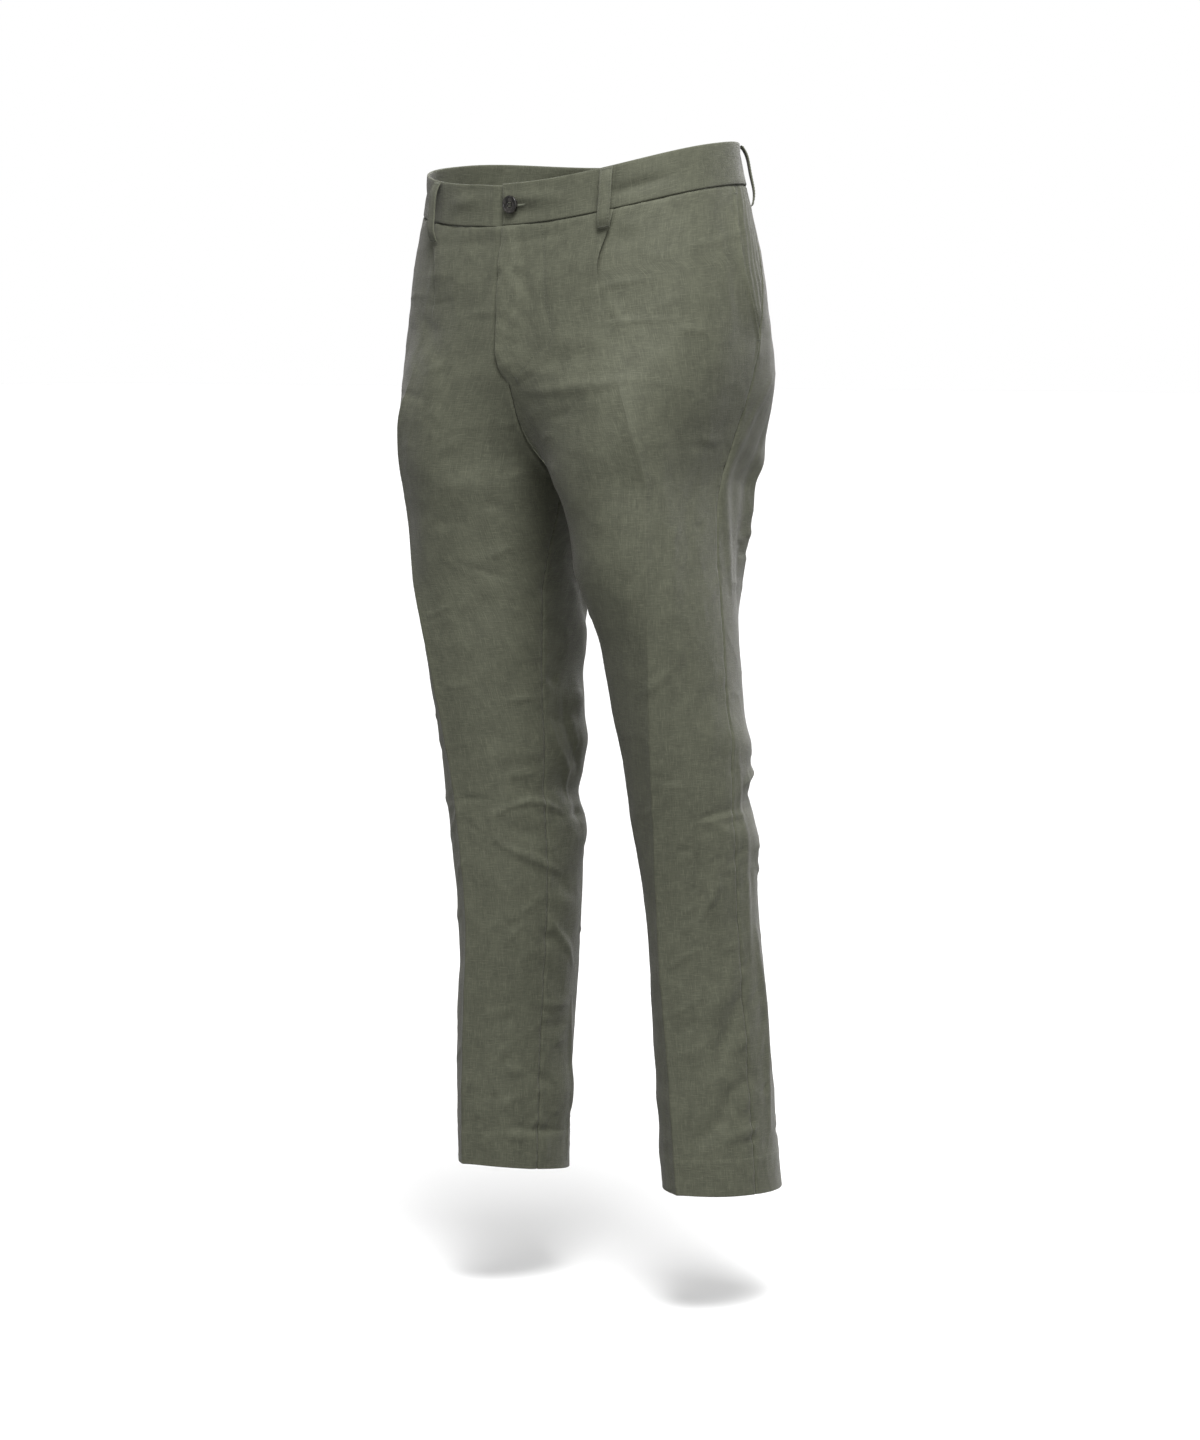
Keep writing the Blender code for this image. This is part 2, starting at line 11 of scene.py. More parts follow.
import bpy
import numpy as np
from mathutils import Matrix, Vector


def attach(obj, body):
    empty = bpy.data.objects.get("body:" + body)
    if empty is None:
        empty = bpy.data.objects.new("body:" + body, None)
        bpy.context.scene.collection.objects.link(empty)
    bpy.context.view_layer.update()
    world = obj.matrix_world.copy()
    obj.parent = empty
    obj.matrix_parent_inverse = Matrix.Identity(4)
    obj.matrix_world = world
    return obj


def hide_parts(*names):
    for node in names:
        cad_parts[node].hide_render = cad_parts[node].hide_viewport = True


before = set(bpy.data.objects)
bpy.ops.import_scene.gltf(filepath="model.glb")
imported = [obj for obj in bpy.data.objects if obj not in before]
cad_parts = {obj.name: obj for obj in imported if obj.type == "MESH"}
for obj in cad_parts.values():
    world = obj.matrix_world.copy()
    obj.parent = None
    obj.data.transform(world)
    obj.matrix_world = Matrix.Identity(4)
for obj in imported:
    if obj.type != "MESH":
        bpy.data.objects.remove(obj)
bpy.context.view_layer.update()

SIGN = {"left": 1.0, "right": -1.0}

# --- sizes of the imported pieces
WALL = 0.0018
BAND_WALL = 0.0024
BAND_PROUD = BAND_WALL - WALL
SEAM_GAP = 0.0003
HALF_GAP = SEAM_GAP / 2
BAND_TOP = 0.0165
WAIST_SEAM = -0.0225
BAND_MIDDLE = (BAND_TOP + WAIST_SEAM) / 2

# the body parts into two legs between these levels, and cloth bridges the valley between them
SPLIT = -0.130
CROTCH = -0.282
SPLIT_POWER = 1.5
CROTCH_CLEAR = 0.0002
VALLEY = 0.014
VALLEY_SHARE = 0.5
VALLEY_REACH = 0.75
INSEAM_FORWARD = math.radians(10)
INSEAM_RUN = 0.12

# the left front and band lap over the right ones as far as the fly's end
FLY_LAP = 0.010
FLY_END = -0.187
FLY_TAPER = 0.035
LAP_POWER = 2.4
UNDERLAP = 0.026
UNDERLAP_CLEAR = 0.0006
UNDERLAP_RAMP = 0.012
UNDERLAP_DROP = 0.0014
UNDERLAP_DROP_RAMP = 0.03

# pocket mouths and the facings behind them
MOUTH_END = -0.155
MOUTH_TOP_FORWARD = 0.040
MOUTH_BOW = 0.0255
FACING_TUCK = 0.014
FACING_BELOW = 0.024
FACING_MOUTH_CLEAR = 0.02
FACING_INSET = WALL + 0.0014
FACING_RISE = 0.016
FACING_AT_SEAM = 0.0013
FACING_SEAM_RUN = 0.02

# belt loops
LOOPS = (
    ("belt_loop_front_left", "left"),
    ("belt_loop_front_right", "right"),
    ("belt_loop_side_left", "left"),
    ("belt_loop_side_right", "right"),
    ("belt_loop_back", "left"),
)
LOOP_WIDTH = 0.012
LOOP_WALL = 0.0015
LOOP_STAND = 0.0056
LOOP_BELOW_SEAM = 0.018
LOOP_BELOW_TOP = 0.001
LOOP_SEAT = 0.0003
LOOP_FRONT_FOOT = 0.0030
FRONT_LOOP_X = 0.098
SIDE_LOOP_Y = 0.072

# button
BUTTON_RADIUS = 0.0083
BUTTON_THICK = 0.0031
BUTTON_DISH = 0.0009
BUTTON_RIM = 0.0017
BUTTON_ROUND = 0.0005
BUTTON_POLE = 0.0002
# pits for the thread: their top and slope in radii, their depth as a share of the button's thickness
HOLE_RADIUS = 0.0009
HOLE_OFFSET = 0.0016
HOLE_TOP = 1.15
HOLE_SLOPE = 0.4
HOLE_DEPTH = 0.6

# the form's creases, and the steps that its slopes are taken over
CREASE_WIDTH = math.radians(16)
CREASE_HEIGHT = 0.006
CREASE_FADE_TOP = -0.10
CREASE_FULL = -0.30
ANGLE_STEP = 0.01
LEVEL_STEP = 0.002
# The waist stands a little higher on the left, fading out down to this level.
SIDE_TILT = 0.042
SIDE_TILT_END = -0.30
SIDE_TILT_RUN = 0.25
# Rings are averaged over this far above and below, in these steps and shares.
SMOOTHED = 0.022
SMOOTHING = ((-2.0, 0.06), (-1.0, 0.24), (0.0, 0.40), (1.0, 0.24), (2.0, 0.06))

# --- finished cloth
CLOTH = 0.0011
HEM_CLOTH = 0.0022
HEM_DEPTH = 0.036
HEM_STEP = 0.0024
HEM_PROUD = 0.00025
BAND_OVERLAP = 0.0010
BAND_CALM = 0.02
SEAM_ROLL = 0.0022
SEAM_ROLL_WIDTH = 0.0030
# a rounded edge keeps this share of the cloth's thickness
FOLD_LEFT = 0.25

# Grids: the step between rings; fixed steps beside an edge, a crease and the hem's line; even columns before and
# after each crease; usual radii of the band and its ends; steps across a folded strip and round its edge; steps
# over the button's face, edge and back.
GRID_STEP = 0.0024
EDGE_STEPS = np.array([0.0, 0.00015, 0.0004, 0.0008, 0.0013, 0.0019, 0.0026, 0.0040])
CREASE_STEPS = np.array([0.0012, 0.0024, 0.0040])
HEM_LINE_STEPS = np.array([0.0, 0.0006, 0.0012, 0.0024])
HEM_LINE_CLEAR = 0.002
FRONT_COLUMNS = (45, 42)
BACK_COLUMNS = (44, 46)
FACING_COLUMNS = 24
FACING_GRAIN = 12
BAND_STEP = 0.0024
BAND_RADIUS = 0.14
BAND_END_RADII = (0.106, 0.116)
BAND_OUTLINE = (17, 5)
LOOP_OUTLINE = (13, 4)
LOOP_ROWS = 64
BUTTON_TURNS = 96
BUTTON_STEPS = (44, 9, 4)
SHARP_ANGLE = math.radians(55)

# Rings of the body and legs: height of the ring at its centre; its centre; x of the outermost point; half-width
# towards the other leg; half-depths; superellipse powers; degrees that the leg's front turns outwards; rise per
# metre towards the back; rise from the middle to the side; where the front crease and the side seam run.
COLUMNS = (
    "level", "centre_x", "centre_y", "reach", "inner", "front", "back", "front_power", "back_power", "turn",
    "tilt", "bow", "crease_x", "side_y",
)
BODY = (
    (0.0165, 0.000, 0.000, 0.155, 0.155, 0.106, 0.112, 2.4, 2.4, 0, 0.11, 0.018, 0.100, 0.064),
    (-0.0225, 0.000, 0.000, 0.160, 0.160, 0.105, 0.117, 2.4, 2.4, 0, 0.11, 0.018, 0.100, 0.064),
    (-0.070, 0.000, 0.000, 0.171, 0.171, 0.111, 0.129, 2.4, 2.5, 0, 0.08, 0.010, 0.098, 0.060),
    (-0.130, 0.000, 0.000, 0.180, 0.180, 0.114, 0.137, 2.3, 2.5, 0, 0.04, 0.004, 0.104, 0.048),
    (-0.185, 0.060, -0.005, 0.177, 0.150, 0.112, 0.141, 2.2, 2.6, 0, 0.01, 0.000, 0.122, 0.036),
    (-0.230, 0.080, -0.015, 0.164, 0.115, 0.104, 0.144, 2.1, 2.6, 0, 0.00, 0.000, 0.135, 0.026),
    (-0.282, 0.085, -0.025, 0.154, 0.0848, 0.093, 0.140, 2.1, 2.5, 0, 0.00, 0.000, 0.138, 0.012),
)
LEGS = {
    "left": (
        (-0.350, 0.095, -0.020, 0.160, 0.076, 0.091, 0.108, 2.1, 2.2, 4, 0.00, 0.000, 0.137, 0.000),
        (-0.430, 0.111, -0.008, 0.167, 0.061, 0.079, 0.087, 2.1, 2.1, 9, 0.00, 0.000, 0.128, -0.004),
        (-0.560, 0.121, 0.008, 0.174, 0.054, 0.068, 0.071, 2.1, 2.1, 5, 0.00, 0.000, 0.125, 0.000),
        (-0.690, 0.125, 0.025, 0.172, 0.047, 0.060, 0.062, 2.0, 2.0, 0, 0.00, 0.000, 0.122, 0.017),
        (-0.820, 0.126, 0.040, 0.175, 0.047, 0.063, 0.065, 2.0, 2.0, -3, 0.00, 0.000, 0.129, 0.032),
        (-0.951, 0.130, 0.050, 0.180, 0.048, 0.066, 0.066, 2.0, 2.0, -4, -0.06, 0.000, 0.135, 0.042),
    ),
    "right": (
        (-0.350, 0.086, -0.022, 0.145, 0.074, 0.087, 0.108, 2.1, 2.2, 3, 0.00, 0.000, 0.126, -0.004),
        (-0.430, 0.080, -0.018, 0.143, 0.066, 0.083, 0.093, 2.1, 2.1, 6, 0.00, 0.000, 0.096, -0.012),
        (-0.560, 0.075, -0.010, 0.133, 0.056, 0.071, 0.075, 2.1, 2.1, 8, 0.00, 0.000, 0.078, -0.013),
        (-0.690, 0.071, -0.005, 0.123, 0.050, 0.064, 0.066, 2.0, 2.0, 9, 0.00, 0.000, 0.070, -0.012),
        (-0.820, 0.080, 0.000, 0.128, 0.046, 0.061, 0.062, 2.0, 2.0, 10, 0.00, 0.000, 0.080, -0.007),
        (-0.950, 0.086, 0.005, 0.130, 0.043, 0.059, 0.059, 2.0, 2.0, 11, -0.15, 0.000, 0.086, -0.002),
    ),
}

# The largest folds: middle angle and level, degrees that it climbs around the ring, half-length, half-width and
# height in metres, below 0 for a trough.
FOLDS = {
    "left": (
        (205, -0.520, -12, 0.050, 0.018, 0.0040),
        (215, -0.578, 10, 0.045, 0.014, -0.0045),
        (230, -0.620, -15, 0.050, 0.018, 0.0035),
        (300, -0.545, 10, 0.040, 0.018, -0.0040),
    ),
    "right": (
        (318, -0.465, 5, 0.045, 0.018, -0.0040),
        (318, -0.531, 0, 0.040, 0.019, 0.0068),
        (318, -0.580, 10, 0.045, 0.015, -0.0070),
        (300, -0.620, -15, 0.050, 0.020, 0.0035),
        (240, -0.545, 12, 0.050, 0.018, -0.0040),
    ),
}

# Wrinkles: half-width and height in millimetres, below 0 for a trough, then the places that each runs through,
# as degrees around the ring and millimetres below the waist's middle.
WRINKLES = {
    "left": (
        (3.2, -0.6, ((108, 24), (110, 60), (110, 102), (108, 132), (98, 148), (84, 159), (65, 178), (54, 187))),
        (5.0, -0.7, ((99, 41), (118, 35), (131, 30))),
        (10.0, -0.9, ((137, 52), (148, 51))),
        (6.0, 0.7, ((136, 105), (138, 130), (132, 146))),
        (2.6, -0.6, ((84, 169), (72, 179), (58, 189))),
        (9.0, -1.2, ((76, 170), (96, 164), (122, 156))),
        (6.5, 1.7, ((62, 195), (87, 191), (108, 188), (128, 182))),
        (16.0, -1.1, ((62, 222), (91, 218), (114, 214))),
        (60.0, -9.0, ((42, 262), (40, 300), (38, 366))),
        (7.0, 1.0, ((176, 58), (176, 95), (177, 140))),
        (14.0, 1.4, ((134, 237), (143, 292), (131, 374), (117, 419))),
        (30.0, 2.4, ((36, 420), (37, 480), (38, 540))),
        (12.0, -0.9, ((179, 265), (160, 329), (138, 384))),
        (8.0, -0.8, ((132, 429), (123, 475))),
        (10.0, 0.8, ((153, 477), (143, 532))),
        (3.0, 0.6, ((103, 556), (121, 556))),
        (3.0, -0.5, ((106, 616), (120, 617))),
        (4.0, -0.6, ((127, 586), (143, 584), (169, 581))),
        (3.4, 1.1, ((124, 592), (138, 589), (165, 587), (206, 589))),
        (6.0, -0.7, ((125, 601), (148, 602))),
        (4.0, 1.1, ((142, 625), (142, 651), (132, 669), (124, 684))),
        (5.0, -1.0, ((124, 611), (124, 644), (122, 678))),
        (9.0, -0.9, ((157, 646), (164, 695))),
        (6.0, 1.0, ((185, 526), (188, 602), (191, 669), (188, 726))),
        (5.0, 0.8, ((145, 714), (175, 706))),
        (10.0, 1.3, ((164, 722), (144, 758), (125, 777))),
        (9.0, -2.0, ((175, 747), (153, 780), (138, 808), (132, 835))),
        (6.0, 1.3, ((175, 794), (157, 811))),
        (9.0, -2.0, ((179, 837), (145, 851), (134, 876), (114, 895), (105, 914))),
        (9.0, 1.1, ((174, 850), (151, 869))),
        (6.0, 1.3, ((178, 886), (154, 890), (138, 896))),
        (3.0, -0.7, ((155, 900), (179, 897))),
        (7.0, 1.9, ((300, 300), (268, 322), (236, 330))),
        (8.0, -2.2, ((308, 322), (270, 342), (240, 348))),
        (6.0, 1.6, ((318, 372), (282, 384), (250, 380))),
        (9.0, 1.9, ((222, 190), (214, 280), (216, 380))),
        (10.0, -1.8, ((240, 225), (236, 300), (232, 400))),
        (5.0, 2.2, ((196, 560), (226, 552), (262, 560))),
        (5.0, -2.1, ((262, 574), (300, 568), (332, 574))),
        (5.0, 2.4, ((250, 600), (288, 592), (326, 604))),
        (6.0, 1.9, ((222, 640), (256, 652), (290, 676))),
        (8.0, -2.2, ((234, 700), (248, 770), (240, 840))),
        (8.0, 2.1, ((208, 700), (214, 790), (206, 890))),
        (6.0, 1.9, ((268, 800), (300, 842), (312, 900))),
        (5.0, -1.6, ((226, 896), (262, 902), (300, 892))),
        (6.0, 1.0, ((30, 520), (52, 600), (48, 690))),
        (7.0, -1.2, ((22, 700), (40, 780), (34, 860))),
        (5.0, 1.0, ((10, 590), (38, 584))),
        (14.0, 1.6, ((226, 250), (262, 272), (302, 256))),
        (13.0, -1.7, ((230, 280), (266, 304), (308, 288))),
        (9.0, 1.8, ((334, 300), (300, 350), (262, 410))),
        (9.0, -1.6, ((340, 340), (312, 400), (282, 450))),
    ),
    "right": (
        (8.0, -0.8, ((135, 42), (100, 37))),
        (9.0, -1.4, ((143, 115), (116, 149))),
        (7.0, 0.9, ((126, 152), (102, 176))),
        (7.0, 0.7, ((90, 210), (81, 226))),
        (10.0, 0.9, ((79, 268), (78, 301))),
        (30.0, -3.0, ((152, 192), (148, 234), (144, 274))),
        (18.0, 2.4, ((-40, 478), (-40, 504))),
        (12.0, -2.6, ((-42, 592), (-42, 612))),
        (25.0, 2.6, ((-36, 850), (-36, 880), (-36, 905))),
        (3.0, -0.6, ((75, 354), (59, 362), (35, 373))),
        (9.0, 0.9, ((55, 355), (51, 393))),
        (3.0, 0.9, ((47, 486), (16, 484))),
        (6.0, -1.3, ((5, 464), (-9, 473))),
        (6.0, -1.6, ((-15, 489), (-19, 527), (-41, 562))),
        (3.6, 1.5, ((3, 508), (-3, 532), (-21, 558), (-32, 584))),
        (5.0, 0.8, ((50, 559), (21, 555))),
        (5.0, 0.6, ((54, 523), (55, 545))),
        (3.4, 1.7, ((50, 588), (29, 583), (12, 586), (-13, 597))),
        (5.0, -0.8, ((18, 596), (-20, 602))),
        (5.0, -0.5, ((22, 574), (-3, 574))),
        (7.0, -1.0, ((50, 609), (30, 614), (0, 624))),
        (4.8, 1.7, ((62, 620), (45, 631), (24, 641), (-9, 655))),
        (5.0, 1.0, ((48, 588), (61, 595), (63, 612))),
        (7.0, -1.0, ((4, 653), (-21, 676))),
        (9.0, 1.3, ((12, 677), (-33, 688))),
        (5.0, 1.5, ((13, 694), (-8, 716), (-27, 732), (-39, 750))),
        (6.0, -1.3, ((21, 712), (-6, 723))),
        (9.0, -0.9, ((21, 740), (-20, 775))),
        (5.0, 1.1, ((14, 782), (-36, 788))),
        (7.0, -1.1, ((9, 805), (-33, 809))),
        (5.0, 1.4, ((-44, 786), (-51, 866), (-50, 940))),
        (6.0, 1.1, ((52, 844), (34, 850))),
        (6.0, -1.1, ((19, 852), (-10, 867))),
        (5.0, 0.9, ((16, 868), (3, 876))),
        (5.0, -0.7, ((52, 806), (49, 789))),
        (5.0, -1.6, ((42, 907), (8, 910), (-34, 912))),
        (6.0, 1.0, ((54, 913), (27, 918))),
        (5.0, 0.7, ((-1, 920), (-5, 940))),
        (4.0, -0.6, ((71, 875), (60, 874))),
        (7.0, 2.1, ((296, 306), (262, 326), (232, 332))),
        (8.0, -2.1, ((304, 330), (268, 346), (238, 344))),
        (6.0, 1.8, ((312, 380), (280, 392), (244, 384))),
        (9.0, 1.8, ((218, 200), (212, 290), (214, 390))),
        (10.0, -1.6, ((238, 215), (232, 310), (228, 410))),
        (5.0, 2.4, ((250, 556), (222, 550), (196, 558))),
        (5.0, -1.9, ((262, 582), (230, 576), (204, 584))),
        (5.0, 2.2, ((268, 612), (236, 602), (200, 612))),
        (6.0, 1.9, ((246, 640), (212, 660), (182, 690))),
        (8.0, -2.2, ((228, 700), (246, 780), (238, 860))),
        (8.0, 1.9, ((200, 690), (206, 790), (198, 890))),
        (9.0, 1.1, ((150, 420), (138, 520), (146, 620))),
        (9.0, -1.2, ((128, 600), (134, 700), (126, 800))),
        (6.0, 1.2, ((160, 760), (140, 820), (120, 870))),
        (5.0, -1.6, ((222, 900), (256, 906), (292, 896))),
        (14.0, 1.7, ((222, 246), (258, 266), (300, 252))),
        (13.0, -1.7, ((228, 274), (262, 298), (306, 284))),
        (9.0, 1.7, ((332, 304), (298, 346), (258, 400))),
        (9.0, -1.5, ((338, 344), (310, 404), (278, 444))),
    ),
}

# Zones of small strewn wrinkles: degrees from and to, millimetres down from and to, how many, and their climb.
SCATTER_SEED = {"left": 5, "right": 8}
SCATTER = {
    "left": (
        (205, 335, 535, 640, 16, 4),
        (95, 200, 535, 650, 9, -4),
        (100, 200, 650, 910, 14, -30),
        (205, 340, 650, 910, 14, 20),
        (225, 320, 285, 400, 10, 12),
        (120, 182, 60, 250, 9, -8),
        (5, 60, 330, 500, 8, 25),
        (30, 80, 190, 300, 4, -30),
        (100, 180, 260, 520, 8, -60),
        (200, 300, 80, 260, 7, 70),
    ),
    "right": (
        (-30, 60, 470, 720, 18, 14),
        (65, 132, 470, 640, 10, 6),
        (65, 170, 650, 910, 12, 30),
        (-30, 60, 720, 930, 14, 10),
        (190, 320, 535, 640, 14, -4),
        (190, 320, 650, 910, 12, -20),
        (225, 320, 285, 400, 10, -12),
        (70, 150, 50, 250, 8, 8),
        (0, 90, 300, 470, 9, 20),
        (30, 80, 190, 300, 4, 30),
        (200, 300, 80, 260, 7, 110),
    ),
}

# Uneven cloth: spacing of the random lattice across and up in metres, height in metres, and the shift that picks
# its place in the lattice.
UNEVEN = (
    (0.060, 0.080, 0.00120, 3.1),
    (0.024, 0.130, 0.00055, 11.7),
    (0.028, 0.024, 0.00055, 23.9),
    (0.012, 0.014, 0.00020, 41.3),
)
LATTICE = np.random.RandomState(11).uniform(-1.0, 1.0, (32, 32, 32))
# Where in the lattice each other kind of unevenness starts.
LATTICE_START = {"web": 5.3, "pucker": 17.9, "hem": 9.1, "fly": 2.9, "band": 7.7, "loop": 3.3}
WEB_SPACING = 0.034
WEB_HEIGHT = 0.00045
WEB_SHARPNESS = 6
WEB_MEAN = 0.3
WEB_TURN = np.array([[0.8, 0.36, 0.48], [-0.6, 0.48, 0.64], [0.0, -0.8, 0.6]])

# Wrinkles: a scale for the table's heights; the share of its width and of its height that each keeps at its
# ends; how far it is worked out, in widths and millimetres more; a ring's usual radius.
WRINKLE_SCALE = 1.5
WRINKLE_END_WIDTH = 0.55
WRINKLE_END_HEIGHT = 0.25
WRINKLE_REACH = (3, 2)
WRINKLE_RADIUS = 0.07
# Strewn wrinkles, in millimetres: length, width, height, side to side bend, and the radius that they lie on;
# degrees that their climb varies by.
STREWN_LENGTH = (12.0, 38.0)
STREWN_WIDTH = (2.6, 5.5)
STREWN_HEIGHT = (0.35, 0.85)
STREWN_BEND = 4.0
STREWN_RADIUS = 60
STREWN_TURN = 18.0

# Pressed creases: a sharp edge that grows down the leg, and a broad ridge beside it down to the knee. The front
# and back ones start at the two levels in PRESSED_FROM.
PRESSED_HEIGHT = 0.0012
PRESSED_WIDTH = 0.007
PRESSED_FROM = (-0.180, -0.240)
PRESSED_RUN = 0.02
PRESSED_LOWER = 0.0016
PRESSED_LOWER_FROM = -0.40
PRESSED_LOWER_RUN = 0.45
PRESSED_BROAD = {"left": 0.0050, "right": 0.0028}
PRESSED_BROAD_WIDTH = 0.020
PRESSED_BROAD_BASE = 0.3
PRESSED_BROAD_RUN = 0.06
PRESSED_BROAD_END = -0.62
PRESSED_BROAD_FADE = 0.15

# Seams and hems: ruckles along the hem's stitching, puckers beside a sewn edge and fewer beside a free one.
HEM_RUCK = 0.0006
HEM_RUCK_SPACING = np.array([0.008, 0.008, 0.020])
HEM_RUCK_WIDTH = 0.016
PUCKER_SPACING = 0.007
PUCKER_HEIGHT = 0.00070
PUCKER_REACH = 0.008
PUCKER_FREE = 0.4
# Paler rubbed cloth, which on the fly and the belt loops is also a painted highlight, as the share at its middle
# and how far it reaches.
WORN_SEAM = (0.7, 0.004)
WORN_HEM_LINE = (0.5, 0.005)
WORN_HEM = (0.7, 0.003)
WORN_EDGE_REACH = 0.005
SEWN_SPARED = 0.7
WORN_BAND = (0.7, 0.0025)
WORN_BAND_END_REACH = 0.003
WORN_LOOP_REACH = 0.0012
LOOP_WEAR_AND_HIGHLIGHT = 0.3
FLY_WEAR_AND_HIGHLIGHT = 0.6

# Pleats: depth, at the seam and where the fold opens; how far its line drifts towards the fly and back; where it
# lies flat again; how far it is sewn down, runs out, and fades beside the fold.
PLEAT_DEEP = 0.0030
PLEAT_AT_SEAM = 0.30
PLEAT_SEAM_RUN = 0.016
PLEAT_SEWN = 0.046
PLEAT_OPENING = 0.7
PLEAT_OPEN_BELOW = 0.008
PLEAT_OPEN_WIDTH = 0.014
PLEAT_LENGTH = 0.104
PLEAT_FADE = 0.030
PLEAT_DRIFT = 0.009
PLEAT_DRIFT_RUN = 0.055
PLEAT_OUTWARD = 0.004
PLEAT_BACK_BY = 0.135
PLEAT_BACK_RUN = 0.070
PLEAT_FLAT_BY = 0.070
PLEAT_FLAT_RUN = 0.016
PLEAT_LAYER_GAP = 0.0002
# The pleat's fold, column by column: how far past its line it lies where open and where flat, in millimetres,
# and its share of the pleat's height. The columns of the layer that is folded under are numbered below.
PLEAT_FOLD = np.array([
    (-0.9, -0.9, 1.00),
    (-0.20, -0.5, 0.99),
    (0.12, -0.3, 0.86),
    (0.18, -0.1, 0.66),
    (-0.10, 0.1, 0.48),
    (-3.60, 0.3, 0.40),
    (-3.40, 0.5, -0.25),
    (0.80, 0.9, -0.30),
])
PLEAT_UNDER = slice(2, 6)

# Fly: a soft ridge, the raised lapped edge, ruckles over its layers, and the sunk front that runs under it.
FLY_RIDGE = 0.0016
FLY_RIDGE_IN = 0.008
FLY_RIDGE_WIDTH = 0.016
FLY_RAISED = 0.0028
FLY_RAISED_WIDTH = 0.018
FLY_AT_BAND = 0.2
FLY_BAND_RUN = 0.025
FLY_RUCK = 0.0012
FLY_RUCK_SPACING = 0.010
FLY_WIDTH = 0.034
FLY_SUNK = 0.0026
FLY_SUNK_RUN = 0.009
FLY_SUNK_START = 0.2
UNDER_WIDTH = 0.022

# Pocket mouths: how far they stand open, the ridge along the edge and the groove of its stitching; the facing's
# small pleats, in radians for each metre across.
MOUTH_LIFT = 0.0052
MOUTH_LIFT_REACH = 0.015
MOUTH_RIDGE = 0.0009
MOUTH_RIDGE_WIDTH = 0.0028
MOUTH_RIDGE_START = 0.006
MOUTH_RIDGE_END = 0.160
MOUTH_RIDGE_FADE = 0.02
MOUTH_GROOVE = 0.8
MOUTH_GROOVE_WIDTH = 0.0018
FACING_PLEATS = 0.0004
FACING_PLEAT_TURNS = 760
FACING_PLEAT_WANDER = 4
FACING_PLEAT_SPACING = 0.03

# Waistband: slow waves, and wrinkles in the form of those above, each along one straight line.
BAND_RISE = 0.0011
BAND_RISE_SPACING = 0.05
BAND_END_CALM = 0.004
BAND_END_SHARE = 0.3
BAND_SCALE = 0.0026
BAND_WRINKLE_END = 0.3
BAND_WRINKLES = {
    "left": (
        (5.0, -0.9, ((137, -8), (159, -6))),
        (6.0, 0.8, ((76, 6), (120, -2))),
        (6.0, -0.7, ((80, -10), (104, -9))),
        (5.0, -0.6, ((196, -10), (206, 12))),
        (6.0, 0.7, ((232, -8), (246, 10))),
    ),
    "right": (
        (6.0, 0.8, ((128, -2), (112, 2))),
        (6.0, -0.6, ((120, 12), (100, 14))),
        (5.0, -0.7, ((150, -10), (164, 8))),
        (6.0, 0.7, ((214, -8), (232, 10))),
    ),
}

# Belt loops: grooves of the two sewn lines, the swell between them and the wobble along them.
LOOP_GROOVE = 0.00022
LOOP_GROOVE_IN = 0.0038
LOOP_GROOVE_WIDTH = 0.0006
LOOP_SWELL = 0.00018
LOOP_SWELL_HALF = 0.0036
LOOP_WOBBLE = 0.00025
LOOP_WOBBLE_SPACING = 0.012

# Stitching: a stitch's length, thickness, sides and rows; pitches; and where each row and tack lies.
STITCH = 0.0022
THREAD_RADIUS = 0.00021
STITCH_SIDES = 6
STITCH_ROWS = np.array([0.0, 0.06, 0.25, 0.5, 0.75, 0.94, 1.0])
STITCH_ARCH = 1.6
STITCH_END = 0.02
STITCH_RISE = 0.5
PATH_STEPS = 400
SEAM_PITCH = 0.0027
TACK_PITCH = 0.0005
LOOP_STITCH_PITCH = 0.0028
LOOP_STITCH_IN = 0.0042
LOOP_STITCH_FROM_END = 0.003
LOOP_STITCH_LONG = 1.15
LOOP_TACK_IN = 0.0016
LOOP_TACK_HALF = 0.0048
LOOP_TACK_STITCHES = 20
POCKET_STITCH_IN = 0.0055
POCKET_STITCH_BELOW = (0.004, 0.002)
POCKET_STITCH_KNOTS = 12
POCKET_TACK_LEVELS = (WAIST_SEAM - 0.008, MOUTH_END + 0.001)
POCKET_TACK_REACH = 0.004
POCKET_TACK_SHARES = (-1.2, 0.2)
POCKET_TACK_STITCH = 0.0020
BUTTONHOLE = (-0.002, 0.0145)
BUTTONHOLE_HALF = 0.0011
BUTTONHOLE_PURL = 0.0025
BUTTONHOLE_STITCHES = 72
PURL_RISE = 0.7
PURL_THICK = 1.1
# Each line: its places as in WRINKLES, its pitch, whether its stitches lie across it, and their length.
FLY_STITCHING = (
    (
        ((108, 24), (110, 60), (110, 102), (108, 132), (98, 148), (84, 159), (72, 171), (62, 183)),
        SEAM_PITCH, False, STITCH,
    ),
    (((63, 180), (60, 188)), TACK_PITCH, True, STITCH),
)

# --- finishes
LINEN_COLOUR = (0.0853, 0.0888, 0.0611)
FOLDED_COLOUR = (0.0848, 0.0883, 0.0608)
LINEN_TONES = (0.70, 1.30)
THREAD_COLOUR = (0.078, 0.082, 0.058)
PURL_COLOUR = (0.135, 0.141, 0.102)
THREAD_TONES = (0.8, 1.2)
THREAD_TWIST = 900.0
HORN_DARK = (0.006, 0.0055, 0.005)
HORN_PALE = (0.060, 0.055, 0.050)
HORN_CLOUDS = (420.0, 420.0, 160.0)
HORN_TURN = 0.7
HORN_STOPS = (0.42, 0.75)
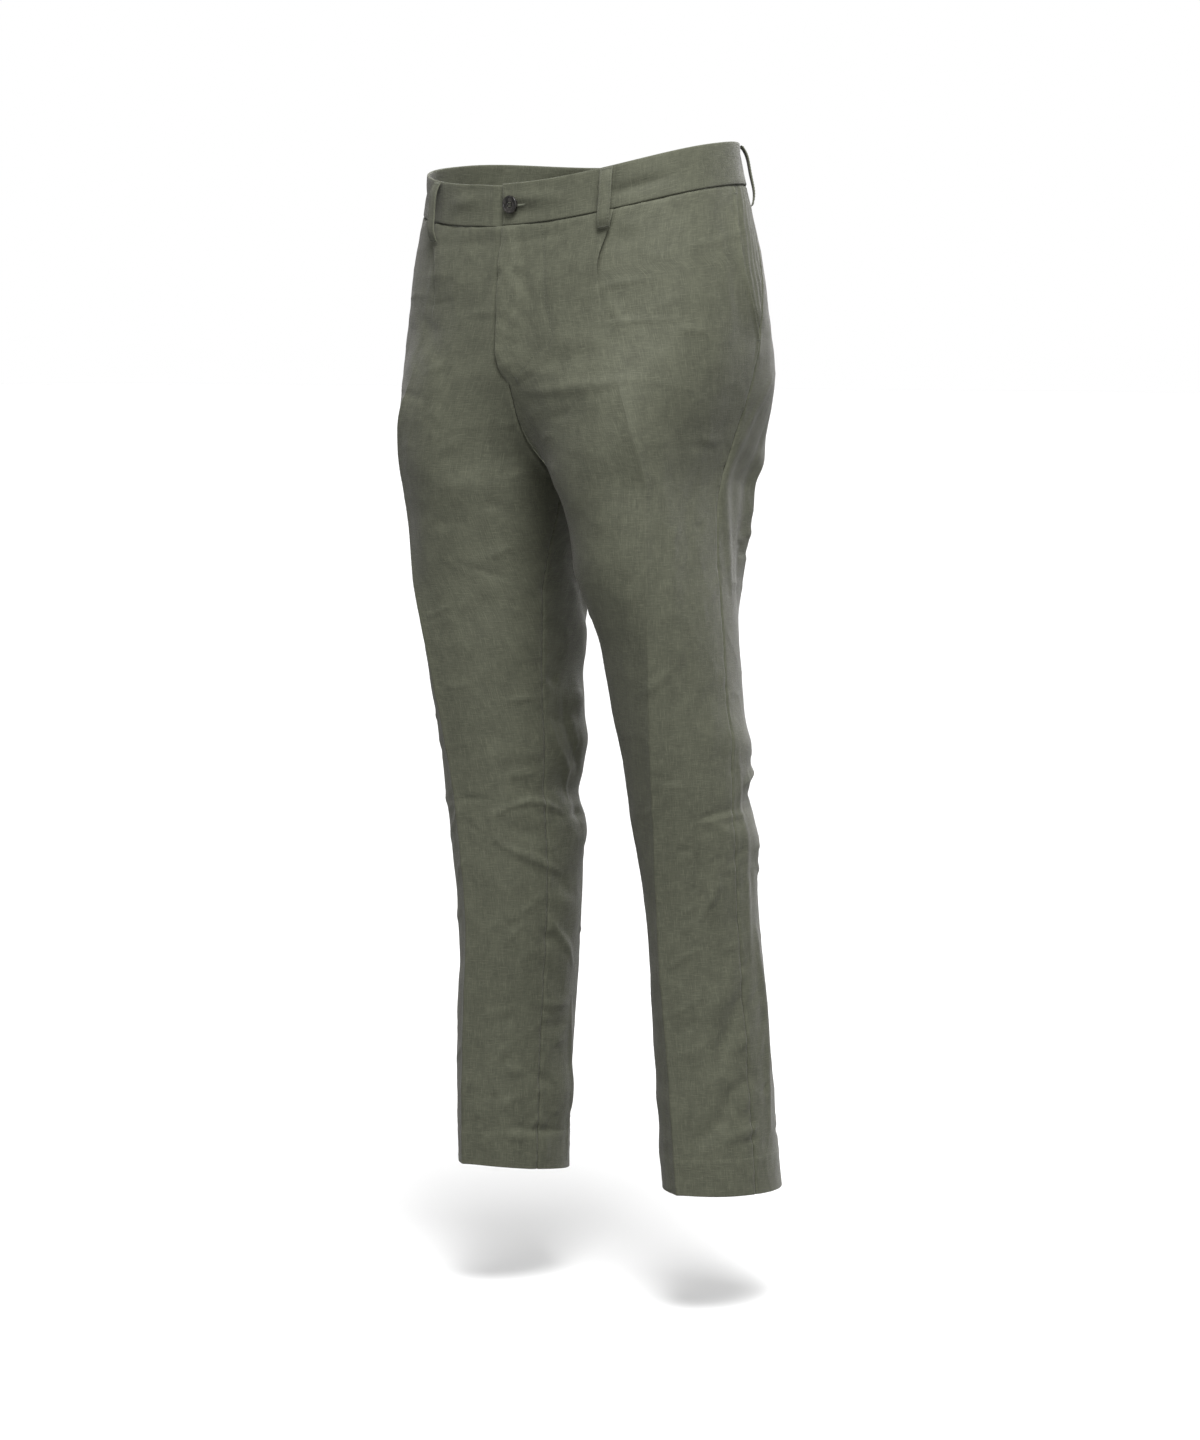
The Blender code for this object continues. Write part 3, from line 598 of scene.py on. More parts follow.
# Streaks in the weave: their size across and along it, and how fine their noise is.
WARP_SLUBS = (0.0012, 0.016, 2.0)
WEFT_SLUBS = (0.012, 0.0012, 2.0)
MOTTLE = (0.016, 0.022, 4.0)
FALL = (0.005, 0.070, 2.0)
LONG_SLUBS = ((0.0010, 0.012, 1.0), (0.010, 0.0009, 1.0))
FLECKS = (0.0020, 0.0036, 2.0)
STREAK_ROUGHNESS = 0.6
# How much each lightens the cloth, with the average kept near the middle.
THREAD_PITCH = 0.0006
WEAVE_WOBBLE = 3.0
WARP_TONE = 0.7
WEFT_TONE = 0.8
MOTTLE_TONE = 1.05
FALL_TONE = 0.35
WEAVE_TONE = 0.12
TONE_START = 0.46 - (WARP_TONE + WEFT_TONE + MOTTLE_TONE + FALL_TONE) / 2
SLUB_FROM = 0.57
SLUB_TONE = 4.2
WEAR_AND_HIGHLIGHT_TONE = 0.12
FLECK_FROM = 0.56
FLECK_TONE = 7.0
WEAVE_BUMP = 0.30

# --- camera, floor and light
AZIMUTH = math.radians(37)
PITCH = math.radians(5.80)
LENS = 92.25
SENSOR_WIDTH = 36.0
CAMERA_PLACE = (2.1206, -2.7845, -0.152)
CAMERA_REACH = (0.1, 200.0)
FLOOR_LEVEL = -1.072
FLOOR_HALF = 60.0
FLOOR_SEEN = (0.95, 0.95, 0.95)
FLOOR_BOUNCE = (0.30, 0.30, 0.30)
ROOM_LIGHT = 0.37
WHITE = (1.0, 1.0, 1.0, 1.0)
# Suns: direction towards each, strength and spread in degrees.
LIGHTS = (
    ("key", (0.32, -0.30, 0.90), 1.95, 30),
    ("fill", (0.72, -0.69, 0.05), 0.92, 50),
    ("rear", (-0.30, 0.85, 0.42), 1.90, 60),
    ("low_rear", (0.12, 0.97, 0.20), 0.50, 50),
)
SOFTBOX_PLACE = (0.95, -0.95, 1.45)
SOFTBOX_AIM = (0.0, 0.0, -0.30)
SOFTBOX_WIDTH = 0.9
SOFTBOX_POWER = 38.0


def monotone_cubic(knots, values, at):
    """Read a smooth curve through rising knots, with no overshoot between them."""
    step = np.diff(knots)
    rise = np.diff(values) / step
    same_way = rise[:-1] * rise[1:] > 0
    total = np.where(same_way, rise[:-1] + rise[1:], 1.0)
    inner_slope = np.where(same_way, 2 * rise[:-1] * rise[1:] / total, 0.0)
    slope = np.concatenate([rise[:1], inner_slope, rise[-1:]])
    i = np.clip(np.searchsorted(knots, at) - 1, 0, len(step) - 1)
    t = (at - knots[i]) / step[i]
    return (
        values[i] * (1 + 2 * t) * (1 - t) ** 2
        + values[i + 1] * (3 - 2 * t) * t**2
        + step[i] * (slope[i] * t * (1 - t) ** 2 - slope[i + 1] * t**2 * (1 - t))
    )


def ease(t):
    """Smooth step from 0 to 1."""
    t = np.clip(t, 0.0, 1.0)
    return t * t * (3 - 2 * t)


def unit(vectors):
    """Vectors scaled to length 1."""
    return vectors / np.linalg.norm(vectors, axis=-1, keepdims=True)

def bell(distance, width):
    """Bell curve: 1 at no distance, falling off with the square of the distance over this width."""
    return np.exp(-((distance / width) ** 2))


def plateau(distance, width):
    """Flat-topped bell: near 1 over most of this width and near 0 soon past it."""
    return np.exp(-((distance / width) ** 4))


def fading(distance, reach):
    """Falls off from 1 at no distance, to a third over each reach."""
    return np.exp(-distance / reach)


def swelling(at_ends, run):
    """Half a sine: this share at both ends of a run and 1 at its middle."""
    return at_ends + (1 - at_ends) * np.sin(math.pi * run)


def beside_line(around, up, to_around, to_up):
    """The share of a straight line's length where it passes nearest to each place, and how far off it is."""
    t = np.clip((around * to_around + up * to_up) / (to_around**2 + to_up**2), 0.0, 1.0)
    return t, np.hypot(around - t * to_around, up - t * to_up)


class Ring:
    """Sizes of the rings of one side at the given levels: the table's, averaged over the rings close by."""

    def __init__(self, side, level):
        rows = np.array(sorted(BODY + LEGS[side]))
        room = np.minimum(np.abs(level - CROTCH), np.minimum(rows[-1, 0] - level, level - rows[0, 0]))
        spread = np.clip(room / 2, 0.0, SMOOTHED)
        totals = np.zeros((len(COLUMNS) + 1,) + np.shape(level))
        for step, share in SMOOTHING:
            near = level + step * spread
            at = [monotone_cubic(rows[:, 0], rows[:, i], near) for i in range(len(COLUMNS))]
            down = np.clip((SPLIT - near) / (SPLIT - CROTCH), 0.0, 1.0)
            split = 1 - (1 - down) ** SPLIT_POWER
            at[1] = np.where(near >= CROTCH, split * (at[4] + CROTCH_CLEAR), at[1])
            totals += share * np.stack(at + [split])
        self.__dict__.update(zip(COLUMNS, totals))
        self.level = level
        self.split = totals[-1]
        self.outer = self.reach - self.centre_x
        self.valley = np.minimum(VALLEY, VALLEY_SHARE * self.inner * (1 - self.split))

    def half_sizes(self, front):
        """Half-depth and superellipse power of the front or the back half."""
        depth = np.where(front, self.front, self.back)
        return depth, np.where(front, self.front_power, self.back_power)

    def radius(self, angle):
        """Distance from the centre to the ring: the superellipse in polar form."""
        cos, sin = np.cos(angle), np.sin(angle)
        half_x = np.where(cos > 0, self.inner, self.outer)
        half_y, power = self.half_sizes(sin > 0)
        return ((np.abs(cos) / half_x) ** power + (np.abs(sin) / half_y) ** power) ** (-1 / power)

    def depth_at(self, x, front):
        """Depth of the ring in front of or behind its centre, at a distance from the body's middle plane."""
        across = self.centre_x - x
        half = np.where(across > 0, self.inner, self.outer)
        depth, power = self.half_sizes(front)
        return depth * np.clip(1 - (np.abs(across) / half) ** power, 0.0, None) ** (1 / power)

    def angle_at(self, x, front):
        """Angle where the ring crosses the plane at a distance from the body's middle plane."""
        angle = np.arctan2(self.depth_at(x, front), self.centre_x - x)
        return angle if front else 2 * math.pi - angle

    def angle_beside(self, y):
        """Angle on the ring's outer side at this place from front to back."""
        behind = y - self.centre_y
        depth, power = self.half_sizes(behind < 0)
        width = self.outer * np.clip(1 - (np.abs(behind) / depth) ** power, 0.0, None) ** (1 / power)
        return math.pi + np.arctan2(behind, width)

    def front_crease(self):
        """Angle of the front crease, which runs up into the pleat."""
        return self.angle_at(self.crease_x, True)

    def back_crease(self):
        """Angle of the back crease, straight behind the front one."""
        return self.angle_at(self.crease_x, False)

    def side_seam(self):
        """Angle of the side seam."""
        return self.angle_beside(self.side_y)

    def mouth(self):
        """Angle of the pocket's edge: forward of the side seam at the waist, bowed, and back on it below."""
        t = np.clip((WAIST_SEAM - self.level) / (WAIST_SEAM - MOUTH_END), 0.0, 1.0)
        forward = MOUTH_TOP_FORWARD * (1 - t) + MOUTH_BOW * np.sin(math.pi * t)
        return self.angle_beside(self.side_y - forward)

    def inseam(self):
        """Angle of the inseam, which runs forward of the ring's inner side below the crotch."""
        return INSEAM_FORWARD * ease((CROTCH - self.level) / INSEAM_RUN)


def creases(ring, angle):
    """Pressed creases: sharp ridges in front and behind, full down the legs and gone at the hips."""
    share = ease((CREASE_FADE_TOP - ring.level) / (CREASE_FADE_TOP - CREASE_FULL))
    front = fading(np.abs(angle - ring.front_crease()), CREASE_WIDTH)
    back = fading(np.abs(angle - ring.back_crease()), CREASE_WIDTH)
    return CREASE_HEIGHT * share * (front + back)


def folds(side, angle, level, radius):
    """The largest folds: each is a tilted bell of the distance from its middle, measured on the ring."""
    height = np.zeros_like(radius)
    for middle, middle_level, slope, length, width, rise in FOLDS[side]:
        around = np.sin(angle - math.radians(middle)) * radius
        facing = np.cos(angle - math.radians(middle)) > 0
        up = level - middle_level
        slope = math.radians(slope)
        along = around * math.cos(slope) + up * math.sin(slope)
        across = up * math.cos(slope) - around * math.sin(slope)
        height = height + rise * np.exp(-((along / length) ** 2) - (across / width) ** 2) * facing
    return height


def surface(side, angle, level):
    """Points of the cloth's outer face: the ring with its creases and largest folds, turned and tilted."""
    angle, level = np.broadcast_arrays(angle, level)
    ring = Ring(side, level)
    radius = ring.radius(angle)
    radius = radius + creases(ring, angle) + folds(side, angle, level, radius)
    x = -radius * np.cos(angle)
    y = -radius * np.sin(angle)
    front = np.sin(angle) > 0
    turn = np.radians(ring.turn)
    across = ring.centre_x + x * np.cos(turn) - y * np.sin(turn)
    along = ring.centre_y + x * np.sin(turn) + y * np.cos(turn)
    bridged = ring.depth_at(np.hypot(across, ring.valley), front) - ring.depth_at(across, front)
    bridged = bridged * ease((VALLEY_REACH - across / ring.reach) / VALLEY_REACH * 2)
    along = along - np.where(front, 1.0, -1.0) * np.where(level > CROTCH, bridged, 0.0)
    height = level + ring.tilt * (along - ring.centre_y) + ring.bow * ((across / ring.reach) ** 2 - 0.5)
    height = height + SIDE_TILT * ease((level - SIDE_TILT_END) / SIDE_TILT_RUN) * SIGN[side] * across
    return np.stack([SIGN[side] * across, along, height], axis=-1)


def outward(side, angle, level):
    """Unit normals of the form, from its slopes around the ring and up the body."""
    around = surface(side, angle + ANGLE_STEP, level) - surface(side, angle - ANGLE_STEP, level)
    up = surface(side, angle, level + LEVEL_STEP) - surface(side, angle, level - LEVEL_STEP)
    return unit(np.cross(around, up) * SIGN[side])


def lattice_noise(places):
    """Smooth random values: numbers on a lattice, blended with cubic steps between its corners."""
    cell = np.floor(places).astype(int)
    t = places - cell
    t = t * t * (3 - 2 * t)
    total = 0.0
    for corner in np.ndindex(2, 2, 2):
        share = np.prod(np.where(np.array(corner) == 1, t, 1 - t), axis=-1)
        x, y, z = np.moveaxis((cell + corner) % LATTICE.shape[0], -1, 0)
        total = total + share * LATTICE[x, y, z]
    return total


def uneven(points):
    """Small random unevenness of soft cloth: layers of lattice noise, and a web of faint sharp lines."""
    height = 0.0
    for across, up, rise, shift in UNEVEN:
        height = height + rise * lattice_noise(points / (across, across, up) + shift)
    line = 1 - np.abs(lattice_noise(points @ WEB_TURN / WEB_SPACING + LATTICE_START["web"]))
    return height + WEB_HEIGHT * (line**WEB_SHARPNESS - WEB_MEAN)


def scattered(side):
    """Small seeded wrinkles, strewn over the zones where the cloth creases with use."""
    random = np.random.RandomState(SCATTER_SEED[side])
    strewn = []
    for low, high, top, bottom, count, slope in SCATTER[side]:
        for _ in range(count):
            angle, down = random.uniform(low, high), random.uniform(top, bottom)
            length, width = random.uniform(*STREWN_LENGTH), random.uniform(*STREWN_WIDTH)
            rise = random.uniform(*STREWN_HEIGHT) * random.choice((1.0, 1.0, -1.0))
            climb = math.radians(slope + random.normal(0.0, STREWN_TURN))
            across = math.degrees(math.cos(climb) * length / 2 / STREWN_RADIUS)
            fall = math.sin(climb) * length / 2
            bend = random.uniform(-STREWN_BEND, STREWN_BEND)
            places = ((angle - across, down - fall), (angle, down + bend), (angle + across, down + fall))
            strewn.append((width, rise, places))
    return tuple(strewn)


STREWN = {side: scattered(side) for side in SIGN}


def wrinkles(side, angle, level, radius):
    """Wrinkles: each a bell of the distance to its line, lower and slimmer towards its ends."""
    height = np.zeros(radius.shape)
    for width, rise, places in WRINKLES[side] + STREWN[side]:
        places = np.array(places, float)
        middle = places[:, 0].mean()
        reach = WRINKLE_REACH[0] * width + WRINKLE_REACH[1]
        low, high = places[:, 1].min() - reach, places[:, 1].max() + reach
        close = (-1000 * level > low) & (-1000 * level < high)
        around_all = (angle[close] - math.radians(middle) + math.pi) % (2 * math.pi) - math.pi
        radius_all = radius[close]
        lengths = np.hypot(np.radians(np.diff(places[:, 0])) * WRINKLE_RADIUS, np.diff(places[:, 1]) / 1000)
        ends = np.concatenate([[0.0], np.cumsum(lengths)]) / lengths.sum()
        nearest = np.full(radius_all.shape, np.inf)
        run = np.zeros(radius_all.shape)
        for i in range(len(places) - 1):
            around = (around_all - math.radians(places[i, 0] - middle)) * radius_all
            down = -places[i, 1] / 1000 - level[close]
            to_around = math.radians(places[i + 1, 0] - places[i, 0]) * radius_all
            t, distance = beside_line(around, down, to_around, (places[i + 1, 1] - places[i, 1]) / 1000)
            closer = distance < nearest
            nearest = np.where(closer, distance, nearest)
            run = np.where(closer, ends[i] + t * (ends[i + 1] - ends[i]), run)
        wide = width / 1000 * swelling(WRINKLE_END_WIDTH, run)
        height[close] += rise / 1000 * swelling(WRINKLE_END_HEIGHT, run) * bell(nearest, wide)
    return height


def relief(side, angle, level):
    """Height of the finished cloth above the form: wrinkles and unevenness, calm under the waistband, and the
    pressed creases, each a sharp edge on a broad ridge.
    """
    angle, level = np.broadcast_arrays(angle, level)
    ring = Ring(side, level)
    radius = ring.radius(angle)
    calm = ease((WAIST_SEAM - level) / BAND_CALM)
    points = surface(side, angle, level)
    pressed = 0.0
    for crease, top in zip((ring.front_crease(), ring.back_crease()), PRESSED_FROM):
        away = np.abs(angle - crease) * radius
        rise = PRESSED_HEIGHT + PRESSED_LOWER * ease((PRESSED_LOWER_FROM - level) / PRESSED_LOWER_RUN)
        pressed = pressed + rise * fading(away, PRESSED_WIDTH) * ease((top - level) / PRESSED_RUN)
        broad = PRESSED_BROAD[side] * (fading(away, PRESSED_BROAD_WIDTH) - PRESSED_BROAD_BASE)
        broad = broad * ease((level - PRESSED_BROAD_END) / PRESSED_BROAD_FADE)
        pressed = pressed + broad * ease((top - level) / PRESSED_BROAD_RUN)
    return (WRINKLE_SCALE * wrinkles(side, angle, level, radius) + uneven(points)) * calm + pressed


def roll(distance, width):
    """Quarter-ellipse shoulder: 1 at an edge, 0 from this width inwards."""
    t = np.clip(1 - distance / width, 0.0, 1.0)
    return 1 - np.sqrt(1 - t * t)


def between(first, last, per_first, per_last, count, steps_first=EDGE_STEPS, steps_last=EDGE_STEPS):
    """Angles from one edge to another for every ring: fixed steps beside both edges and even ones between.

    Also each column's distance from the first and last edge, which is far where it isn't one of the steps.
    """
    near = first[:, None] + steps_first * per_first[:, None]
    far = last[:, None] - steps_last[::-1] * per_last[:, None]
    t = np.linspace(0.0, 1.0, count + 1)[1:-1]
    middle = near[:, -1:] + (far[:, :1] - near[:, -1:]) * t
    angle = np.concatenate([near, middle, far], axis=1)
    return angle, *edge_distances((angle.shape[1],), steps_first, steps_last[::-1])


def edge_distances(shape, from_first, from_last):
    """Distances from the first and last edge on a grid, where the outermost columns' are known and others far."""
    first, last = np.ones(shape), np.ones(shape)
    first[..., : len(from_first)] = from_first
    last[..., shape[-1] - len(from_last):] = from_last
    return first, last


def panel_rows(side):
    """Levels of a panel's rings: fixed steps at the waist seam, hem and hem's line, and even ones between."""
    top, hem = WAIST_SEAM + BAND_OVERLAP, LEGS[side][-1][0]
    hem_line = hem + HEM_DEPTH + HEM_LINE_STEPS
    even = np.linspace(top - EDGE_STEPS[-1], hem + EDGE_STEPS[-1], int((top - hem) / GRID_STEP))
    even = even[np.abs(even - hem_line.mean()) > HEM_LINE_CLEAR]
    return np.sort(np.concatenate([top - EDGE_STEPS[:-1], even, hem_line, hem + EDGE_STEPS[:-1]]))[::-1]


def lap(level):
    """How far the left front laps past the middle: it turns in at the fly's end along a round curve."""
    t = np.clip((FLY_END + FLY_TAPER - level) / FLY_TAPER, 0, 1)
    return 1 - t**LAP_POWER


def add_item(name, data):
    """A new object with this data in the scene."""
    item = bpy.data.objects.new(name, data)
    bpy.context.scene.collection.objects.link(item)
    return item


def new_mesh(name, points, faces, uv, material, worn=None):
    """A smooth-shaded piece on the root body from points, faces and every point's weave coordinate and share of
    rubbed pale cloth and painted highlight.
    """
    mesh = bpy.data.meshes.new(name)
    mesh.from_pydata(points.tolist(), [], faces if isinstance(faces, list) else faces.tolist())
    corner = np.empty(len(mesh.loops), np.int32)
    mesh.loops.foreach_get("vertex_index", corner)
    layer = mesh.uv_layers.new(name="weave")
    layer.data.foreach_set("uv", uv[corner].astype(np.float32).ravel())
    if worn is not None:
        values = mesh.attributes.new("worn", "FLOAT", "POINT")
        values.data.foreach_set("value", worn.astype(np.float32).ravel())
    mesh.polygons.foreach_set("use_smooth", np.ones(len(mesh.polygons), bool))
    mesh.set_sharp_from_angle(angle=SHARP_ANGLE)
    mesh.materials.append(material)
    mesh.update()
    piece = add_item(name, mesh)
    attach(piece, "root")
    return piece


def grid_quads(index):
    """Quads of a grid of point numbers, or of a stack of such grids."""
    parts = (index[..., :-1, :-1], index[..., :-1, 1:], index[..., 1:, 1:], index[..., 1:, :-1])
    return np.stack([part.ravel() for part in parts], axis=-1)


def lengths_along(points, axis):
    """Running length along a grid's rows or columns."""
    steps = np.linalg.norm(np.diff(points, axis=axis), axis=-1)
    return np.concatenate([np.zeros_like(np.take(steps, [0], axis)), np.cumsum(steps, axis)], axis=axis)


def share_along(run, where):
    """For places along a line of points: the number of the point before each and the share of the step past it."""
    pick = np.interp(where, run, np.arange(len(run)))
    i = np.clip(pick.astype(int), 0, len(run) - 2)
    return i, (pick - i)[:, None]


def wall_piece(name, side, outer, inner, worn, material, grain_column, grain_shift=0.0):
    """A closed thin wall between two grids of points. The weave runs straight down beside its grain column."""
    rows, columns = outer.shape[:2]
    across = lengths_along(outer, 1)
    across = across - across[:, grain_column: grain_column + 1] + grain_shift
    down = lengths_along(outer, 0)[:, grain_column: grain_column + 1]
    uv = np.stack(np.broadcast_arrays(across, -down), axis=-1).reshape(-1, 2)
    index = np.arange(rows * columns).reshape(rows, columns)
    inside = rows * columns
    edge = np.concatenate([index[0, :-1], index[:-1, -1], index[-1, :0:-1], index[:0:-1, 0]])
    following = np.roll(edge, -1)
    rim = np.stack([edge, edge + inside, following + inside, following], axis=-1)
    faces = np.concatenate([grid_quads(index), grid_quads(index)[:, ::-1] + inside, rim])
    if SIGN[side] > 0:
        faces = faces[:, ::-1]
    points = np.concatenate([outer.reshape(-1, 3), inner.reshape(-1, 3)])
    return new_mesh(name, points, faces, np.concatenate([uv, uv]), material, np.concatenate([worn, 0 * worn]))


def tube_piece(name, rings, material, flip=False, worn=None):
    """A closed tube through rings of points, with its two ends closed by one face each."""
    count, around = rings.shape[:2]
    index = np.arange(count * around).reshape(count, around)
    closed = np.concatenate([index, index[:, :1]], axis=1)
    faces = grid_quads(closed).tolist() + [index[0, ::-1].tolist(), index[-1].tolist()]
    if flip:
        faces = [face[::-1] for face in faces]
    uv = np.stack([lengths_along(rings, 0), lengths_along(rings, 1)], axis=-1).reshape(-1, 2)
    return new_mesh(name, rings.reshape(-1, 3), faces, uv, material, worn)


def cloth_faces(side, angle, level, outer_off, inner_off):
    """Outer and inner grids of points at these heights above the form."""
    face = surface(side, angle, level)
    normal = outward(side, angle, level)
    return face + normal * outer_off[..., None], face + normal * inner_off[..., None]


def panel_walls(side, angle, level, ends, rise):
    """Outer and inner heights of a panel: relief, rolled seams, a turned-up hem and rounded free edges; how much
    its cloth is rubbed paler.

    ends holds, for the first and last edge, each point's distance from it and the share that is a sewn seam.
    """
    height = relief(side, angle, level) + rise
    above_hem = level - LEGS[side][-1][0]
    from_hem_line = above_hem - HEM_DEPTH
    below_seam = WAIST_SEAM - HALF_GAP - level
    turned_up = ease((HEM_STEP / 2 - from_hem_line) / HEM_STEP)
    height = height + HEM_PROUD * turned_up
    sunk = SEAM_ROLL * roll(below_seam, SEAM_ROLL_WIDTH)
    rounded = roll(above_hem, HEM_CLOTH / 2)
    pucker = fading(below_seam, PUCKER_REACH)
    worn = np.maximum(
        WORN_SEAM[0] * fading(below_seam, WORN_SEAM[1]),
        WORN_HEM_LINE[0] * bell(from_hem_line, WORN_HEM_LINE[1]) + WORN_HEM[0] * fading(above_hem, WORN_HEM[1]),
    )
    for distance, sewn in ends:
        sunk = np.maximum(sunk, SEAM_ROLL * roll(distance, SEAM_ROLL_WIDTH) * sewn)
        rounded = np.maximum(rounded, roll(distance, CLOTH / 2) * (1 - sewn))
        held = PUCKER_FREE + (1 - PUCKER_FREE) * sewn
        pucker = np.maximum(pucker, fading(distance, PUCKER_REACH) * held)
        worn = np.maximum(worn, fading(distance, WORN_EDGE_REACH) * (1 - SEWN_SPARED * sewn))
    points = surface(side, angle, level)
    puckers = lattice_noise(points / PUCKER_SPACING + LATTICE_START["pucker"])
    ruckles = lattice_noise(points / HEM_RUCK_SPACING + LATTICE_START["hem"])
    height = height + PUCKER_HEIGHT * pucker * puckers - sunk
    height = height + HEM_RUCK * ruckles * bell(from_hem_line, HEM_RUCK_WIDTH)
    thick = CLOTH + (HEM_CLOTH - CLOTH) * turned_up
    pinch = rounded * (1 - FOLD_LEFT) * thick / 2
    return height - pinch, height - thick + pinch, worn


def from_lap(side, angle, level):
    """Distance from the lapped edge of the fly, towards the side."""
    across = surface(side, angle, level)[..., 0] * SIGN[side]
    return across + SIGN[side] * FLY_LAP * lap(level)


def fly_rise(side, angle, level):
    """Height of the fly: a soft ridge, the step of its lapped edge, and ruckles where its layers are sewn."""
    beside = from_lap(side, angle, level)
    rise = FLY_RIDGE * bell(SIGN[side] * beside - FLY_RIDGE_IN, FLY_RIDGE_WIDTH)
    if side == "left":
        below_band = FLY_AT_BAND + (1 - FLY_AT_BAND) * ease((WAIST_SEAM - level) / FLY_BAND_RUN)
        rise = rise + FLY_RAISED * bell(beside, FLY_RAISED_WIDTH) * below_band
        ruck = lattice_noise(surface(side, angle, level) / FLY_RUCK_SPACING + LATTICE_START["fly"])
        rise = rise + FLY_RUCK * ruck * plateau(beside, FLY_WIDTH)
    else:
        rise = rise - FLY_SUNK * (1 - ease(beside / FLY_SUNK_RUN + FLY_SUNK_START))
    return rise * lap(level)


def mouth_rise(side, angle, level):
    """Lift of the cloth beside the pocket's edge, which stands a little open, with a ridge and a sewn groove."""
    ring = Ring(side, level)
    below = WAIST_SEAM - level
    t = np.clip(below / (WAIST_SEAM - MOUTH_END), 0.0, 1.0)
    to_mouth = (ring.mouth() - angle) * ring.outer
    lift = MOUTH_LIFT * np.sin(math.pi * t) * bell(to_mouth, MOUTH_LIFT_REACH)
    groove = MOUTH_GROOVE * bell(to_mouth - POCKET_STITCH_IN, MOUTH_GROOVE_WIDTH)
    shown = ease(below / MOUTH_RIDGE_START) * ease((MOUTH_RIDGE_END - below) / MOUTH_RIDGE_FADE)
    return lift + MOUTH_RIDGE * (bell(to_mouth, MOUTH_RIDGE_WIDTH) - groove) * shown


def front_panel(side, material):
    """Trouser front: fly, folded pleat, pressed crease, pocket mouth and side seam."""
    level = panel_rows(side)
    ring = Ring(side, level)
    lapped = lap(level)
    edge_x = HALF_GAP - SIGN[side] * FLY_LAP * lapped
    if side == "right":
        edge_x = edge_x - UNDER_WIDTH * lapped
    start = np.where(level > CROTCH, ring.angle_at(edge_x, True), ring.inseam() + HALF_GAP / ring.inner)
    end = np.minimum(ring.mouth(), ring.side_seam())
    end = end - HALF_GAP / ring.radius(end)
    crease = ring.front_crease()
    per_crease = 1 / ring.radius(crease)
    below = WAIST_SEAM - level
    drift = PLEAT_DRIFT * ease(below / PLEAT_DRIFT_RUN) - PLEAT_OUTWARD
    drift = drift * ease((PLEAT_BACK_BY - below) / PLEAT_BACK_RUN)
    crease = crease - drift * per_crease
    folded = ease((PLEAT_FLAT_BY - below) / PLEAT_FLAT_RUN)
    fold_x = (PLEAT_FOLD[:, 1] + (PLEAT_FOLD[:, 0] - PLEAT_FOLD[:, 1]) * folded[:, None]) / 1000
    fold_angle = crease[:, None] + fold_x * per_crease[:, None]
    before, from_start, _ = between(
        start, fold_angle[:, 0], 1 / ring.radius(start), per_crease, FRONT_COLUMNS[0], steps_last=CREASE_STEPS
    )
    after, _, from_end = between(
        fold_angle[:, -1], end, per_crease, 1 / ring.radius(end), FRONT_COLUMNS[1], steps_first=CREASE_STEPS
    )
    angle = np.concatenate([before, fold_angle, after], axis=1)
    from_start, from_end = edge_distances(angle.shape, from_start, from_end)
    n_before, n_fold = before.shape[1], fold_angle.shape[1]
    ones = np.ones(angle.shape)
    level, lapped = level[:, None] * ones, lapped[:, None] * ones
    below = WAIST_SEAM - level
    # the pleat's upper layer, which lies on the fly's side of its line
    past = (angle - crease[:, None]) * ring.radius(crease)[:, None]
    share = np.zeros(angle.shape)
    share[:, :n_before] = bell(past[:, :n_before], PLEAT_FADE)
    share[:, n_before: n_before + n_fold] = PLEAT_FOLD[:, 2]
    opening = 1 + PLEAT_OPENING * bell(below - PLEAT_SEWN - PLEAT_OPEN_BELOW, PLEAT_OPEN_WIDTH)
    deep = PLEAT_DEEP * (PLEAT_AT_SEAM + (1 - PLEAT_AT_SEAM) * ease(below / PLEAT_SEAM_RUN))
    rise = share * (deep * opening * ease(1 - below / PLEAT_LENGTH))
    rise = rise + mouth_rise(side, angle, level) + fly_rise(side, angle, level)
    ends = ((from_start, 1 - lapped), (from_end, (level <= MOUTH_END) * ones))
    outer_off, inner_off, worn = panel_walls(side, angle, level, ends, rise)
    # the layer that is folded under lies just inside the upper one
    under = slice(n_before + PLEAT_UNDER.start, n_before + PLEAT_UNDER.stop)
    between_layers = inner_off[:, n_before: n_before + 1] - PLEAT_LAYER_GAP
    inner_off[:, under] += folded[:, None] * (between_layers - inner_off[:, under])
    # The fly is painted lighter over its width: partly rubbed cloth, partly a painted highlight along its raised
    # ridge.
    if side == "left":
        worn = np.maximum(worn, FLY_WEAR_AND_HIGHLIGHT * lapped * plateau(from_lap(side, angle, level), FLY_WIDTH))
    outer, inner = cloth_faces(side, angle, level, outer_off, inner_off)
    piece = wall_piece("front_cloth_" + side, side, outer, inner, worn, material, n_before, -drift[:, None])
    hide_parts("front_" + side)
    return piece


